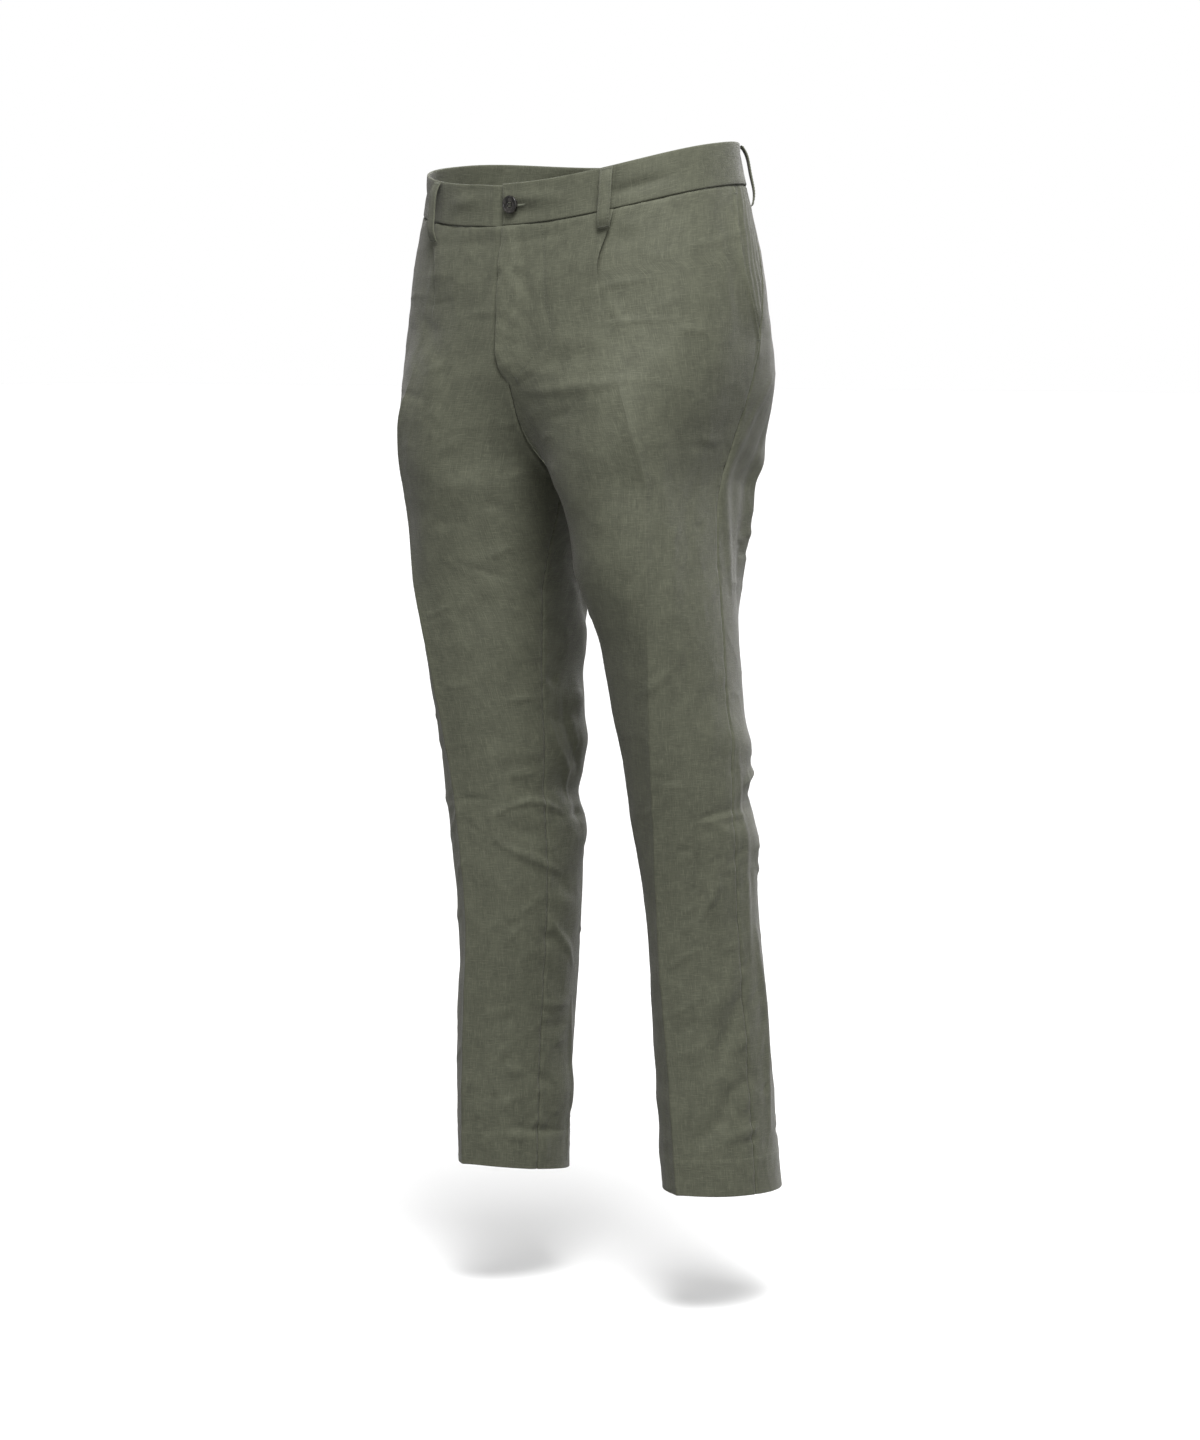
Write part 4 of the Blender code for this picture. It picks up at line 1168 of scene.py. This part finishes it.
def back_panel(side, material):
    """Trouser back: side seam, back crease, centre back seam and inseam."""
    level = panel_rows(side)
    ring = Ring(side, level)
    start = ring.side_seam()
    start = start + HALF_GAP / ring.radius(start)
    inseam = 2 * math.pi + ring.inseam() - HALF_GAP / ring.inner
    end = np.where(level > CROTCH, ring.angle_at(HALF_GAP, False), inseam)
    crease = ring.back_crease()
    per_crease = 1 / ring.radius(crease)
    steps = np.append(0.0, CREASE_STEPS)
    before, from_start, _ = between(
        start, crease, 1 / ring.radius(start), per_crease, BACK_COLUMNS[0], steps_last=steps
    )
    after, _, from_end = between(
        crease, end, per_crease, 1 / ring.radius(end), BACK_COLUMNS[1], steps_first=steps
    )
    angle = np.concatenate([before, after[:, 1:]], axis=1)
    from_start, from_end = edge_distances(angle.shape, from_start, from_end)
    ones = np.ones(angle.shape)
    level = level[:, None] * ones
    outer_off, inner_off, worn = panel_walls(side, angle, level, ((from_start, ones), (from_end, ones)), 0.0)
    outer, inner = cloth_faces(side, angle, level, outer_off, inner_off)
    piece = wall_piece("back_cloth_" + side, side, outer, inner, worn, material, before.shape[1])
    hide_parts("back_" + side)
    return piece


def pocket_facing(side, material):
    """Cloth behind the pocket mouth: tucked under the front's edge and level with the side seam behind."""
    level = panel_rows(side)
    level = level[level > MOUTH_END - FACING_BELOW]
    ring = Ring(side, level)
    mouth = np.minimum(ring.mouth(), ring.side_seam() - FACING_MOUTH_CLEAR)
    mouth = mouth - HALF_GAP / ring.radius(mouth)
    end = ring.side_seam()
    end = end - HALF_GAP / ring.radius(end)
    tuck = mouth - FACING_TUCK / ring.outer
    angle, _, from_end = between(tuck, end, 1 / ring.radius(tuck), 1 / ring.radius(end), FACING_COLUMNS)
    ones = np.ones(angle.shape)
    level = level[:, None] * ones
    shown = (angle - mouth[:, None]) * ring.outer[:, None]
    below_seam = WAIST_SEAM - HALF_GAP - level
    inset = FACING_AT_SEAM + (FACING_INSET - FACING_AT_SEAM) * ease(below_seam / FACING_SEAM_RUN)
    inset = inset * (1 - ease(shown / FACING_RISE))
    wander = FACING_PLEAT_WANDER * lattice_noise(surface(side, angle, level) / FACING_PLEAT_SPACING)
    out = inset + FACING_PLEATS * np.sin(shown * FACING_PLEAT_TURNS + wander)
    sunk = SEAM_ROLL * np.maximum(roll(below_seam, SEAM_ROLL_WIDTH), roll(from_end, SEAM_ROLL_WIDTH) * ones)
    height = relief(side, angle, level) * ease(shown / FACING_RISE) - out - sunk
    outer, inner = cloth_faces(side, angle, level, height, height - CLOTH)
    piece = wall_piece("pocket_facing_cloth_" + side, side, outer, inner, 0 * angle, material, FACING_GRAIN)
    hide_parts("pocket_facing_" + side)
    return piece


def racetrack(half_wide, half_thick, flat_steps, round_steps):
    """Outline of a flat strip with round edges: places along its width and through its thickness, once round.

    It starts at the lower edge's outer side, goes up the outer face, over the top edge and down the inner one.
    """
    flat = np.linspace(-1.0, 1.0, flat_steps) * (half_wide - half_thick)
    turn = np.linspace(math.pi / 2, -math.pi / 2, round_steps + 2)[1:-1]
    top_wide = half_wide - half_thick + half_thick * np.cos(turn)
    top_thick = half_thick * np.sin(turn)
    wide = np.concatenate([flat, top_wide, flat[::-1], -top_wide[::-1]])
    ones = np.ones(flat_steps)
    thick = np.concatenate([half_thick * ones, top_thick, -half_thick * ones, top_thick[::-1]])
    return wide, thick


def band_wrinkles(side, angle, level, radius):
    """Wrinkles of the band: each a bell of the distance to its line, lower towards its ends."""
    height = 0.0
    for width, rise, ((start, start_up), (stop, stop_up)) in BAND_WRINKLES[side]:
        around = (angle - math.radians(start)) * radius
        to_around = math.radians(stop - start) * radius
        t, away = beside_line(around, level - start_up / 1000, to_around, (stop_up - start_up) / 1000)
        height = height + BAND_SCALE * rise * swelling(BAND_WRINKLE_END, t) * bell(away * 1000, width)
    return height


def waistband(side, material):
    """Half of the waistband: a folded strip with round edges, slightly wavy, that laps or runs under."""
    middle = BAND_MIDDLE + SEAM_GAP / 4
    wide, thick = racetrack((BAND_TOP - WAIST_SEAM - SEAM_GAP / 2) / 2, BAND_WALL / 2, *BAND_OUTLINE)
    first_x = -FLY_LAP if side == "left" else -UNDERLAP
    rim_ring = Ring(side, np.array([middle]))
    first, last = rim_ring.angle_at(first_x, True), rim_ring.angle_at(HALF_GAP, False)
    count = int((last - first)[0] * BAND_RADIUS / BAND_STEP)
    per_first, per_last = (np.array([1 / radius]) for radius in BAND_END_RADII)
    columns, from_first, from_last = between(first, last, per_first, per_last, count)
    share = (columns[0] - first) / (last - first)
    level = (middle + wide)[None, :] * np.ones((share.size, 1))
    ring = Ring(side, level)
    start, stop = ring.angle_at(first_x, True), ring.angle_at(HALF_GAP, False)
    angle = start + (stop - start) * share[:, None]
    face = surface(side, angle, level)
    # the end that shows closes like a folded edge; the sewn end sinks into its seam
    closing = roll(from_first, BAND_WALL / 2)[:, None]
    half = thick[None, :] * (1 - (1 - FOLD_LEFT) * closing)
    sunk = SEAM_ROLL * roll(from_last, SEAM_ROLL_WIDTH)[:, None]
    wavy = BAND_RISE * lattice_noise(face / BAND_RISE_SPACING + LATTICE_START["band"])
    wavy = wavy + band_wrinkles(side, angle, level, ring.radius(angle))
    wavy = wavy * ease(from_first / BAND_END_CALM + BAND_END_SHARE)[:, None]
    off = BAND_PROUD - BAND_WALL / 2 + half + wavy - sunk
    if side == "right":
        # the end that runs under lies inside the other band and a little lower
        under = face[..., 0] * SIGN[side] - FLY_LAP - UNDERLAP_CLEAR
        front = np.sin(angle) > 0
        off = off - (BAND_WALL + SEAM_GAP) * (1 - ease(under / UNDERLAP_RAMP)) * front
    rings = face + outward(side, angle, level) * off[..., None]
    if side == "right":
        rings[..., 2] -= UNDERLAP_DROP * (1 - ease(under / UNDERLAP_DROP_RAMP)) * front
    edge = WORN_BAND[0] * fading(wide.max() - np.abs(wide), WORN_BAND[1])
    worn = np.maximum(edge[None, :], fading(from_first, WORN_BAND_END_REACH)[:, None])
    piece = tube_piece("waistband_cloth_" + side, rings, material, flip=side == "left", worn=worn)
    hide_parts("waistband_" + side)
    return piece


def loop_middle(name, ring):
    """Angle of a belt loop's middle line."""
    if "front" in name:
        return ring.angle_at(FRONT_LOOP_X, True)
    if "side" in name:
        return ring.angle_beside(SIDE_LOOP_Y)
    return ring.angle_at(0.0, False)


def loop_frame(name, side):
    """Middle line of a belt loop's inner face, its outward normals, the direction across it and its run."""
    level = np.linspace(BAND_TOP - LOOP_BELOW_TOP, WAIST_SEAM - LOOP_BELOW_SEAM, LOOP_ROWS)
    centre = loop_middle(name, Ring(side, level))
    up = np.linspace(1.0, 0.0, LOOP_ROWS)
    foot = LOOP_FRONT_FOOT if "front" in name else 0.0
    stand = foot * (1 - up) + BAND_PROUD * up + LOOP_STAND * (1 - (2 * up - 1) ** 4)
    normal = outward(side, centre, level)
    across = surface(side, centre + ANGLE_STEP, level) - surface(side, centre - ANGLE_STEP, level)
    middle = surface(side, centre, level) + normal * (stand + LOOP_SEAT)[:, None]
    return middle, normal, unit(across), lengths_along(middle[:, None], 0)[:, 0]


def belt_loop(name, side, material):
    """A folded strip, tacked at the band's top and below its seam, standing off the band between them."""
    inner, normal, across, run = loop_frame(name, side)
    wide, thick = racetrack(LOOP_WIDTH / 2, LOOP_WALL / 2, *LOOP_OUTLINE)
    closing = 1 - (1 - FOLD_LEFT) * roll(np.minimum(run, run[-1] - run), LOOP_WALL / 2)
    # two sewn lines press soft grooves beside the edges, and the middle swells between them
    groove = LOOP_GROOVE * bell(np.abs(wide) - LOOP_GROOVE_IN, LOOP_GROOVE_WIDTH)
    swell = LOOP_SWELL * np.cos(np.clip(wide / LOOP_SWELL_HALF, -1, 1) * math.pi / 2)
    lift = thick[None, :] * closing[:, None] + LOOP_WALL / 2 + ((swell - groove) * (thick > 0))[None, :]
    wobble = LOOP_WOBBLE * lattice_noise(inner / LOOP_WOBBLE_SPACING + LATTICE_START["loop"])
    sideways = wide[None, :] + wobble[:, None]
    rings = inner[:, None] + across[:, None] * sideways[..., None] + normal[:, None] * lift[..., None]
    # The whole loop is painted lighter, a painted highlight on its face that stands proud of the band, and its
    # edges paler still where rubbed.
    worn = fading(wide.max() - np.abs(wide), WORN_LOOP_REACH)[None, :] * np.ones((LOOP_ROWS, 1)) + LOOP_WEAR_AND_HIGHLIGHT
    piece = tube_piece(name + "_cloth", rings, material, flip=side == "left", worn=worn)
    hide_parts(name)
    return piece


def stitches(name, middles, along, normals, length, radius, material):
    """Stitches as short round threads: each arches over the cloth and dips into it at both ends.

    Each one's length is that of its direction, in stitches of this length.
    """
    count, rows = len(middles), len(STITCH_ROWS)
    sizes = np.linalg.norm(along, axis=-1)[:, None]
    along, normals = unit(along), unit(normals)
    across = np.cross(normals, along)
    thin = radius * np.sqrt(np.clip(1 - (2 * STITCH_ROWS - 1) ** 4, STITCH_END, None))
    lift = radius * (STITCH_ARCH * np.sin(math.pi * STITCH_ROWS) - 1.0)
    turn = np.arange(STITCH_SIDES) / STITCH_SIDES * 2 * math.pi
    past = ((STITCH_ROWS - 0.5) * length)[:, None, None]
    place = middles[:, None, None] + (along * sizes)[:, None, None] * past
    up = lift[:, None] + thin[:, None] * np.sin(turn)
    side = thin[:, None] * np.cos(turn)
    points = place + normals[:, None, None] * up[None, ..., None] + across[:, None, None] * side[None, ..., None]
    index = np.arange(count * rows * STITCH_SIDES).reshape(count, rows, STITCH_SIDES)
    quads = grid_quads(np.concatenate([index, index[..., :1]], axis=-1))
    faces = quads.tolist() + index[:, 0, ::-1].tolist() + index[:, -1].tolist()
    uv = np.broadcast_to(STITCH_ROWS[:, None, None] * length, (count, rows, STITCH_SIDES, 2)).reshape(-1, 2)
    piece = new_mesh(name, points.reshape(-1, 3), faces, uv, material)
    return piece


def path_on_cloth(side, knots, lift_of, spacing):
    """Evenly spaced places along a smooth path on the cloth, with its directions and the cloth's normals."""
    knots = np.array(knots, float)
    number = np.arange(len(knots), dtype=float)
    at = np.linspace(0.0, number[-1], PATH_STEPS)
    angle = np.radians(monotone_cubic(number, knots[:, 0], at))
    level = -monotone_cubic(number, knots[:, 1], at) / 1000
    normal = outward(side, angle, level)
    points = surface(side, angle, level) + normal * lift_of(angle, level)[:, None]
    run = lengths_along(points[:, None], 0)[:, 0]
    i, share = share_along(run, np.arange(spacing / 2, run[-1], spacing))
    return points[i] * (1 - share) + points[i + 1] * share, points[i + 1] - points[i], normal[i]


def band_directions(normal):
    """Direction across the band, level and square to its normal."""
    return unit(np.cross((0.0, 0.0, 1.0), normal))


def button_frame():
    """Middle of the button's back and the directions across, up and out of the band there."""
    level = np.array([BAND_MIDDLE])
    angle = Ring("left", level).angle_at(0.0, True)
    normal = outward("left", angle, level)[0]
    across = band_directions(normal)
    place = surface("left", angle, level)[0] + normal * (BAND_PROUD + SEAM_GAP)
    return place, across, np.cross(normal, across), normal


def waist_button(material):
    """Turned button on a polar grid: a raised rim, a dished middle and four round pits for the thread."""
    rim = BUTTON_RADIUS - BUTTON_ROUND
    face_steps, edge_steps, back_steps = BUTTON_STEPS
    turns = np.linspace(0.0, 2 * math.pi, BUTTON_TURNS + 1)[:-1]
    flat = np.linspace(BUTTON_POLE, rim, face_steps)
    curve = np.linspace(0.0, math.pi, edge_steps)[1:-1]
    back = np.linspace(rim, BUTTON_POLE, back_steps)
    radius = np.concatenate([flat, rim + BUTTON_ROUND * np.sin(curve), back])
    dish = ease((BUTTON_RADIUS - BUTTON_RIM / 2 - flat) / BUTTON_RIM) * BUTTON_DISH
    front = BUTTON_THICK - dish - BUTTON_ROUND * ease((flat - rim + BUTTON_ROUND) / BUTTON_ROUND) / 3
    half = front[-1] / 2
    height = np.concatenate([front, half + half * np.cos(curve), 0 * back])
    x = radius[:, None] * np.cos(turns)
    y = radius[:, None] * np.sin(turns)
    z = height[:, None] + 0 * x
    to_hole = np.hypot(np.abs(x) - HOLE_OFFSET, np.abs(y) - HOLE_OFFSET)
    pit = ease((HOLE_RADIUS * HOLE_TOP - to_hole) / (HOLE_RADIUS * HOLE_SLOPE)) * BUTTON_THICK * HOLE_DEPTH
    z[: len(flat)] -= pit[: len(flat)]
    place, across, up, normal = button_frame()
    rings = place + x[..., None] * across + y[..., None] * up + z[..., None] * normal
    piece = tube_piece("waist_button_horn", rings, material, flip=True)
    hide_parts("waist_button")
    return piece


def button_thread(material):
    """Threads that cross from hole to hole in the button's dish, two lying side by side each way."""
    place, across, up, normal = button_frame()
    dish = place + normal * (BUTTON_THICK - BUTTON_DISH + THREAD_RADIUS)
    middles = [dish + up * (row * HOLE_OFFSET + beside * THREAD_RADIUS) for row in (-1, 1) for beside in (-1, 1)]
    return stitches(
        "button_thread", np.array(middles), np.array([across] * 4), np.array([normal] * 4),
        2 * HOLE_OFFSET + HOLE_RADIUS, THREAD_RADIUS, material
    )


def buttonhole(material):
    """Close purl stitches around the buttonhole: along its lower side, round its end, back and round its start.

    The outline is two straight sides and two half circles, and each stitch points straight out of it.
    """
    half, length = BUTTONHOLE_HALF, BUTTONHOLE[1] - BUTTONHOLE[0]
    turn = math.pi * half
    run = np.linspace(0.0, 1.0, BUTTONHOLE_STITCHES, endpoint=False) * (2 * length + 2 * turn)
    on_end, on_start = (run - length) / half, (run - 2 * length - turn) / half
    zero = 0 * run
    parts = [run < length, run < length + turn, run < 2 * length + turn]
    out_x = np.select(parts, [zero, np.sin(on_end), zero], -np.sin(on_start))
    out_y = np.select(parts, [zero - 1, -np.cos(on_end), zero + 1], np.cos(on_start))
    x = np.select(parts, [run, zero + length, 2 * length + turn - run], 0.0) + half * out_x
    level = BAND_MIDDLE + half * out_y
    angle = Ring("left", level).angle_at(BUTTONHOLE[0] + x, True)
    normal = outward("left", angle, level)
    points = surface("left", angle, level) + normal * (BAND_PROUD + THREAD_RADIUS * PURL_RISE)
    along = band_directions(normal) * out_x[:, None] + np.array((0.0, 0.0, 1.0)) * out_y[:, None]
    thick = THREAD_RADIUS * PURL_THICK
    return stitches("buttonhole_purl", points, unit(along), normal, BUTTONHOLE_PURL, thick, material)


def seam_stitches(name, side, lines, rise_of, material):
    """Rows of machine stitches along lines on a panel, and bars of close stitches at their tacked ends."""
    middles, along, normals = [], [], []
    for knots, pitch, turned, length in lines:
        places, directions, normal = path_on_cloth(
            side, knots, lambda angle, level: relief(side, angle, level) + rise_of(side, angle, level), pitch
        )
        directions = unit(directions)
        if turned:
            directions = np.cross(normal, directions)
        middles.append(places + normal * THREAD_RADIUS * STITCH_RISE)
        along.append(directions * length / STITCH)
        normals.append(normal)
    return stitches(
        name, np.concatenate(middles), np.concatenate(along), np.concatenate(normals), STITCH, THREAD_RADIUS,
        material
    )


def pocket_stitches(side, material):
    """Stitches beside the pocket's edge, with a tack across its top and foot."""
    top, foot = WAIST_SEAM - POCKET_STITCH_BELOW[0], MOUTH_END - POCKET_STITCH_BELOW[1]
    at = np.linspace(top, foot, POCKET_STITCH_KNOTS)
    ring = Ring(side, at)
    knots = tuple(zip(np.degrees(ring.mouth() - POCKET_STITCH_IN / ring.outer), -1000 * at))
    lines = [(knots, SEAM_PITCH, False, STITCH)]
    for level in POCKET_TACK_LEVELS:
        ring = Ring(side, np.array([level]))
        middle, reach = np.degrees(ring.mouth()[0]), np.degrees(POCKET_TACK_REACH / ring.outer[0])
        knots = tuple((middle + share * reach, -1000 * level) for share in POCKET_TACK_SHARES)
        lines.append((knots, TACK_PITCH, True, POCKET_TACK_STITCH))
    return seam_stitches("pocket_stitching_" + side, side, lines, mouth_rise, material)


def loop_stitches(name, side, material):
    """A belt loop's two rows of edge stitches and its tacks across the top and the foot."""
    inner, normal, across, run = loop_frame(name, side)
    down = unit(np.gradient(inner, axis=0))
    at = np.arange(LOOP_STITCH_FROM_END, run[-1] - LOOP_STITCH_FROM_END, LOOP_STITCH_PITCH)
    bar = TACK_PITCH * np.arange(LOOP_TACK_STITCHES) - LOOP_TACK_HALF
    where = np.concatenate([at, at, np.repeat([LOOP_TACK_IN, run[-1] - LOOP_TACK_IN], bar.size)])
    beside = np.concatenate([np.repeat([-LOOP_STITCH_IN, LOOP_STITCH_IN], at.size), bar, bar])
    tack = np.arange(where.size) >= 2 * at.size
    i, share = share_along(run, where)
    middle = inner[i] * (1 - share) + inner[i + 1] * share
    out = LOOP_WALL + np.where(tack, THREAD_RADIUS, 0.0)
    middles = middle + across[i] * beside[:, None] + normal[i] * out[:, None]
    length = np.where(tack, 1.0, LOOP_STITCH_LONG)
    return stitches(
        name + "_stitching", middles, down[i] * length[:, None], normal[i], STITCH, THREAD_RADIUS, material
    )


# ----------------------------------------------------------------------------------------------- finishes


def toned(colour, share):
    """A colour made darker or lighter."""
    return tuple(part * share for part in colour)


class Finish:
    """A new material and the nodes that work out its colour and bump."""

    def __init__(self, name, **surface_values):
        self.material = bpy.data.materials.new(name)
        self.material.use_nodes = True
        self.nodes = self.material.node_tree.nodes
        self.link = self.material.node_tree.links.new
        self.shader = self.nodes["Principled BSDF"]
        for socket, value in surface_values.items():
            self.shader.inputs[socket.replace("_", " ")].default_value = value

    def node(self, kind, inputs, **settings):
        """A node with these settings, each input a value or another node's socket."""
        node = self.nodes.new(kind)
        for setting, value in settings.items():
            setattr(node, setting, value)
        for socket, value in inputs.items():
            if isinstance(value, bpy.types.NodeSocket):
                self.link(value, node.inputs[socket])
            else:
                node.inputs[socket].default_value = value
        return node

    def math(self, operation, *values):
        """A math node on these numbers or sockets."""
        return self.node("ShaderNodeMath", dict(enumerate(values)), operation=operation).outputs[0]

    def noise(self, coordinate, scale, turned=0.0, **inputs):
        """Noise with its own scale along each axis, turned about the second one."""
        mapping = self.node(
            "ShaderNodeMapping", {"Vector": coordinate, "Scale": scale, "Rotation": (0.0, turned, 0.0)}
        )
        inputs = {"Vector": mapping.outputs["Vector"], "Scale": 1.0, **inputs}
        return self.node("ShaderNodeTexNoise", inputs).outputs["Fac"]

    def streaks(self, coordinate, across, along, detail):
        """Noise drawn out along one direction of the weave."""
        return self.noise(coordinate, (1 / across, 1 / along, 1.0), Detail=detail, Roughness=STREAK_ROUGHNESS)

    def colour_by(self, share, first, second):
        """Blend the surface's colour from the first to the second by a socket's value."""
        blend = self.node("ShaderNodeMix", {0: share}, data_type="RGBA")
        sockets = [socket for socket in blend.inputs if socket.type == "RGBA"]
        for socket, colour in zip(sockets, (first, second)):
            socket.default_value = (*colour, 1.0)
        mixed = next(socket for socket in blend.outputs if socket.type == "RGBA")
        self.link(mixed, self.shader.inputs["Base Color"])


def linen(name, colour):
    """Matt plain-weave linen: fine threads, uneven slubs both ways, soft mottling and a faint sheen."""
    finish = Finish(
        name, Roughness=0.72, Specular_IOR_Level=0.32, Sheen_Weight=0.16, Sheen_Roughness=0.40,
        Sheen_Tint=(1.0, 0.96, 1.0, 1.0)
    )
    weave_place = finish.node("ShaderNodeUVMap", {}, uv_map="weave").outputs["UV"]
    warp_slub = finish.streaks(weave_place, *WARP_SLUBS)
    weft_slub = finish.streaks(weave_place, *WEFT_SLUBS)
    split = finish.node("ShaderNodeSeparateXYZ", {0: weave_place})
    waves = []
    for place, wobble in zip(split.outputs, (warp_slub, weft_slub)):
        turns = finish.math("MULTIPLY", place, math.pi / THREAD_PITCH)
        waves.append(finish.math("SINE", finish.math("MULTIPLY_ADD", wobble, WEAVE_WOBBLE, turns)))
    weave = finish.math("MULTIPLY", *waves)
    tone = TONE_START
    for pattern, share in (
        (warp_slub, WARP_TONE),
        (weft_slub, WEFT_TONE),
        (finish.streaks(weave_place, *MOTTLE), MOTTLE_TONE),
        (finish.streaks(weave_place, *FALL), FALL_TONE),
        (weave, WEAVE_TONE),
    ):
        tone = finish.math("MULTIPLY_ADD", pattern, share, tone)
    for sizes in LONG_SLUBS:
        slub = finish.math("MAXIMUM", finish.math("SUBTRACT", finish.streaks(weave_place, *sizes), SLUB_FROM), 0.0)
        tone = finish.math("MULTIPLY_ADD", slub, SLUB_TONE, tone)
    # Lighter flecks and tone along rubbed seams, hems and edges, and a painted highlight over the fly and the belt
    # loops.
    wear_and_highlight_attribute = finish.node("ShaderNodeAttribute", {}, attribute_name="worn")
    fleck = finish.math("MAXIMUM", finish.math("SUBTRACT", finish.streaks(weave_place, *FLECKS), FLECK_FROM), 0.0)
    fleck = finish.math("MULTIPLY_ADD", fleck, FLECK_TONE, WEAR_AND_HIGHLIGHT_TONE)
    tone = finish.math("MULTIPLY_ADD", wear_and_highlight_attribute.outputs["Fac"], fleck, tone)
    finish.colour_by(tone, *(toned(colour, share) for share in LINEN_TONES))
    height = finish.math("ADD", finish.math("MULTIPLY_ADD", weave, WEAVE_BUMP, warp_slub), weft_slub)
    bump = finish.node("ShaderNodeBump", {"Strength": 0.5, "Distance": 0.0004, "Height": height})
    finish.link(bump.outputs["Normal"], finish.shader.inputs["Normal"])
    return finish.material


def horn():
    """Dark polished horn, clouded with paler streaks."""
    finish = Finish("horn", Roughness=0.22)
    place = finish.node("ShaderNodeTexCoord", {}).outputs["Object"]
    clouds = finish.noise(place, HORN_CLOUDS, turned=HORN_TURN, Detail=3.0, Distortion=1.2)
    ramp = finish.node("ShaderNodeValToRGB", {"Fac": clouds})
    for stop, position, colour in zip(ramp.color_ramp.elements, HORN_STOPS, (HORN_DARK, HORN_PALE)):
        stop.position = position
        stop.color = (*colour, 1.0)
    finish.link(ramp.outputs["Color"], finish.shader.inputs["Base Color"])
    return finish.material


def thread(name, colour):
    """Matt sewing thread with a fine twist along each stitch."""
    finish = Finish(name, Roughness=0.75, Sheen_Weight=0.2)
    place = finish.node("ShaderNodeTexCoord", {}).outputs["Object"]
    twist = finish.node("ShaderNodeTexNoise", {"Vector": place, "Scale": THREAD_TWIST}).outputs["Fac"]
    finish.colour_by(twist, *(toned(colour, share) for share in THREAD_TONES))
    return finish.material


# ------------------------------------------------------------------------------------------------ garment

LINEN = linen("linen", LINEN_COLOUR)
LINEN_FOLDED = linen("linen_folded", FOLDED_COLOUR)
THREAD = thread("linen_thread", THREAD_COLOUR)

for side in SIGN:
    front_panel(side, LINEN)
    back_panel(side, LINEN)
    pocket_facing(side, LINEN_FOLDED)
    waistband(side, LINEN)
for name, side in LOOPS:
    belt_loop(name, side, LINEN_FOLDED)
    loop_stitches(name, side, THREAD)
waist_button(horn())
button_thread(THREAD)
buttonhole(thread("purl_thread", PURL_COLOUR))
seam_stitches("fly_stitching", "left", FLY_STITCHING, fly_rise, THREAD)
for side in SIGN:
    pocket_stitches(side, THREAD)

# ------------------------------------------------------------------------------------- floor, light, camera


def aim(item, direction, forward):
    """Turn a light or camera until this axis of its own runs along a direction."""
    item.rotation_mode = "QUATERNION"
    item.rotation_quaternion = Vector(direction).to_track_quat(forward, "Y")


def floor():
    """Wide pale floor, which throws back less light than it shows."""
    finish = Finish("pale_floor", Roughness=0.9, Specular_IOR_Level=0.0)
    seen = finish.node("ShaderNodeLightPath", {}).outputs["Is Camera Ray"]
    finish.colour_by(seen, FLOOR_BOUNCE, FLOOR_SEEN)
    corners = ((-1, -1), (1, -1), (1, 1), (-1, 1))
    mesh = bpy.data.meshes.new("floor")
    mesh.from_pydata([(x * FLOOR_HALF, y * FLOOR_HALF, FLOOR_LEVEL) for x, y in corners], [], [(0, 1, 2, 3)])
    mesh.materials.append(finish.material)
    add_item("floor", mesh)


def surroundings():
    """White all round where it is seen, and dimmer as a light."""
    world = bpy.data.worlds.new("studio")
    world.use_nodes = True
    nodes, link = world.node_tree.nodes, world.node_tree.links.new
    glow, backdrop = nodes["Background"], nodes.new("ShaderNodeBackground")
    glow.inputs["Color"].default_value = backdrop.inputs["Color"].default_value = WHITE
    glow.inputs["Strength"].default_value = ROOM_LIGHT
    mixed = nodes.new("ShaderNodeMixShader")
    link(nodes.new("ShaderNodeLightPath").outputs["Is Camera Ray"], mixed.inputs[0])
    link(glow.outputs[0], mixed.inputs[1])
    link(backdrop.outputs[0], mixed.inputs[2])
    link(mixed.outputs[0], nodes["World Output"].inputs["Surface"])
    bpy.context.scene.world = world


def lights():
    """Broad soft suns from above in front, the left side and behind, and a softbox high at the front left."""
    for name, direction, strength, spread in LIGHTS:
        sun = bpy.data.lights.new(name, "SUN")
        sun.energy = strength
        sun.angle = math.radians(spread)
        aim(add_item(name, sun), direction, "Z")
    softbox = bpy.data.lights.new("softbox", "AREA")
    softbox.shape = "DISK"
    softbox.size = SOFTBOX_WIDTH
    softbox.energy = SOFTBOX_POWER
    item = add_item("softbox", softbox)
    item.location = SOFTBOX_PLACE
    aim(item, Vector(SOFTBOX_PLACE) - Vector(SOFTBOX_AIM), "Z")


def camera():
    """Camera at the front left quarter, level with the thighs and looking a little down."""
    data = bpy.data.cameras.new("camera")
    data.lens = LENS
    data.sensor_width = SENSOR_WIDTH
    data.clip_start, data.clip_end = CAMERA_REACH
    item = add_item("camera", data)
    item.location = CAMERA_PLACE
    level = math.cos(PITCH)
    aim(item, (-math.sin(AZIMUTH) * level, math.cos(AZIMUTH) * level, -math.sin(PITCH)), "-Z")
    bpy.context.scene.camera = item


floor()
surroundings()
lights()
camera()
bpy.context.scene.view_settings.view_transform = "Standard"
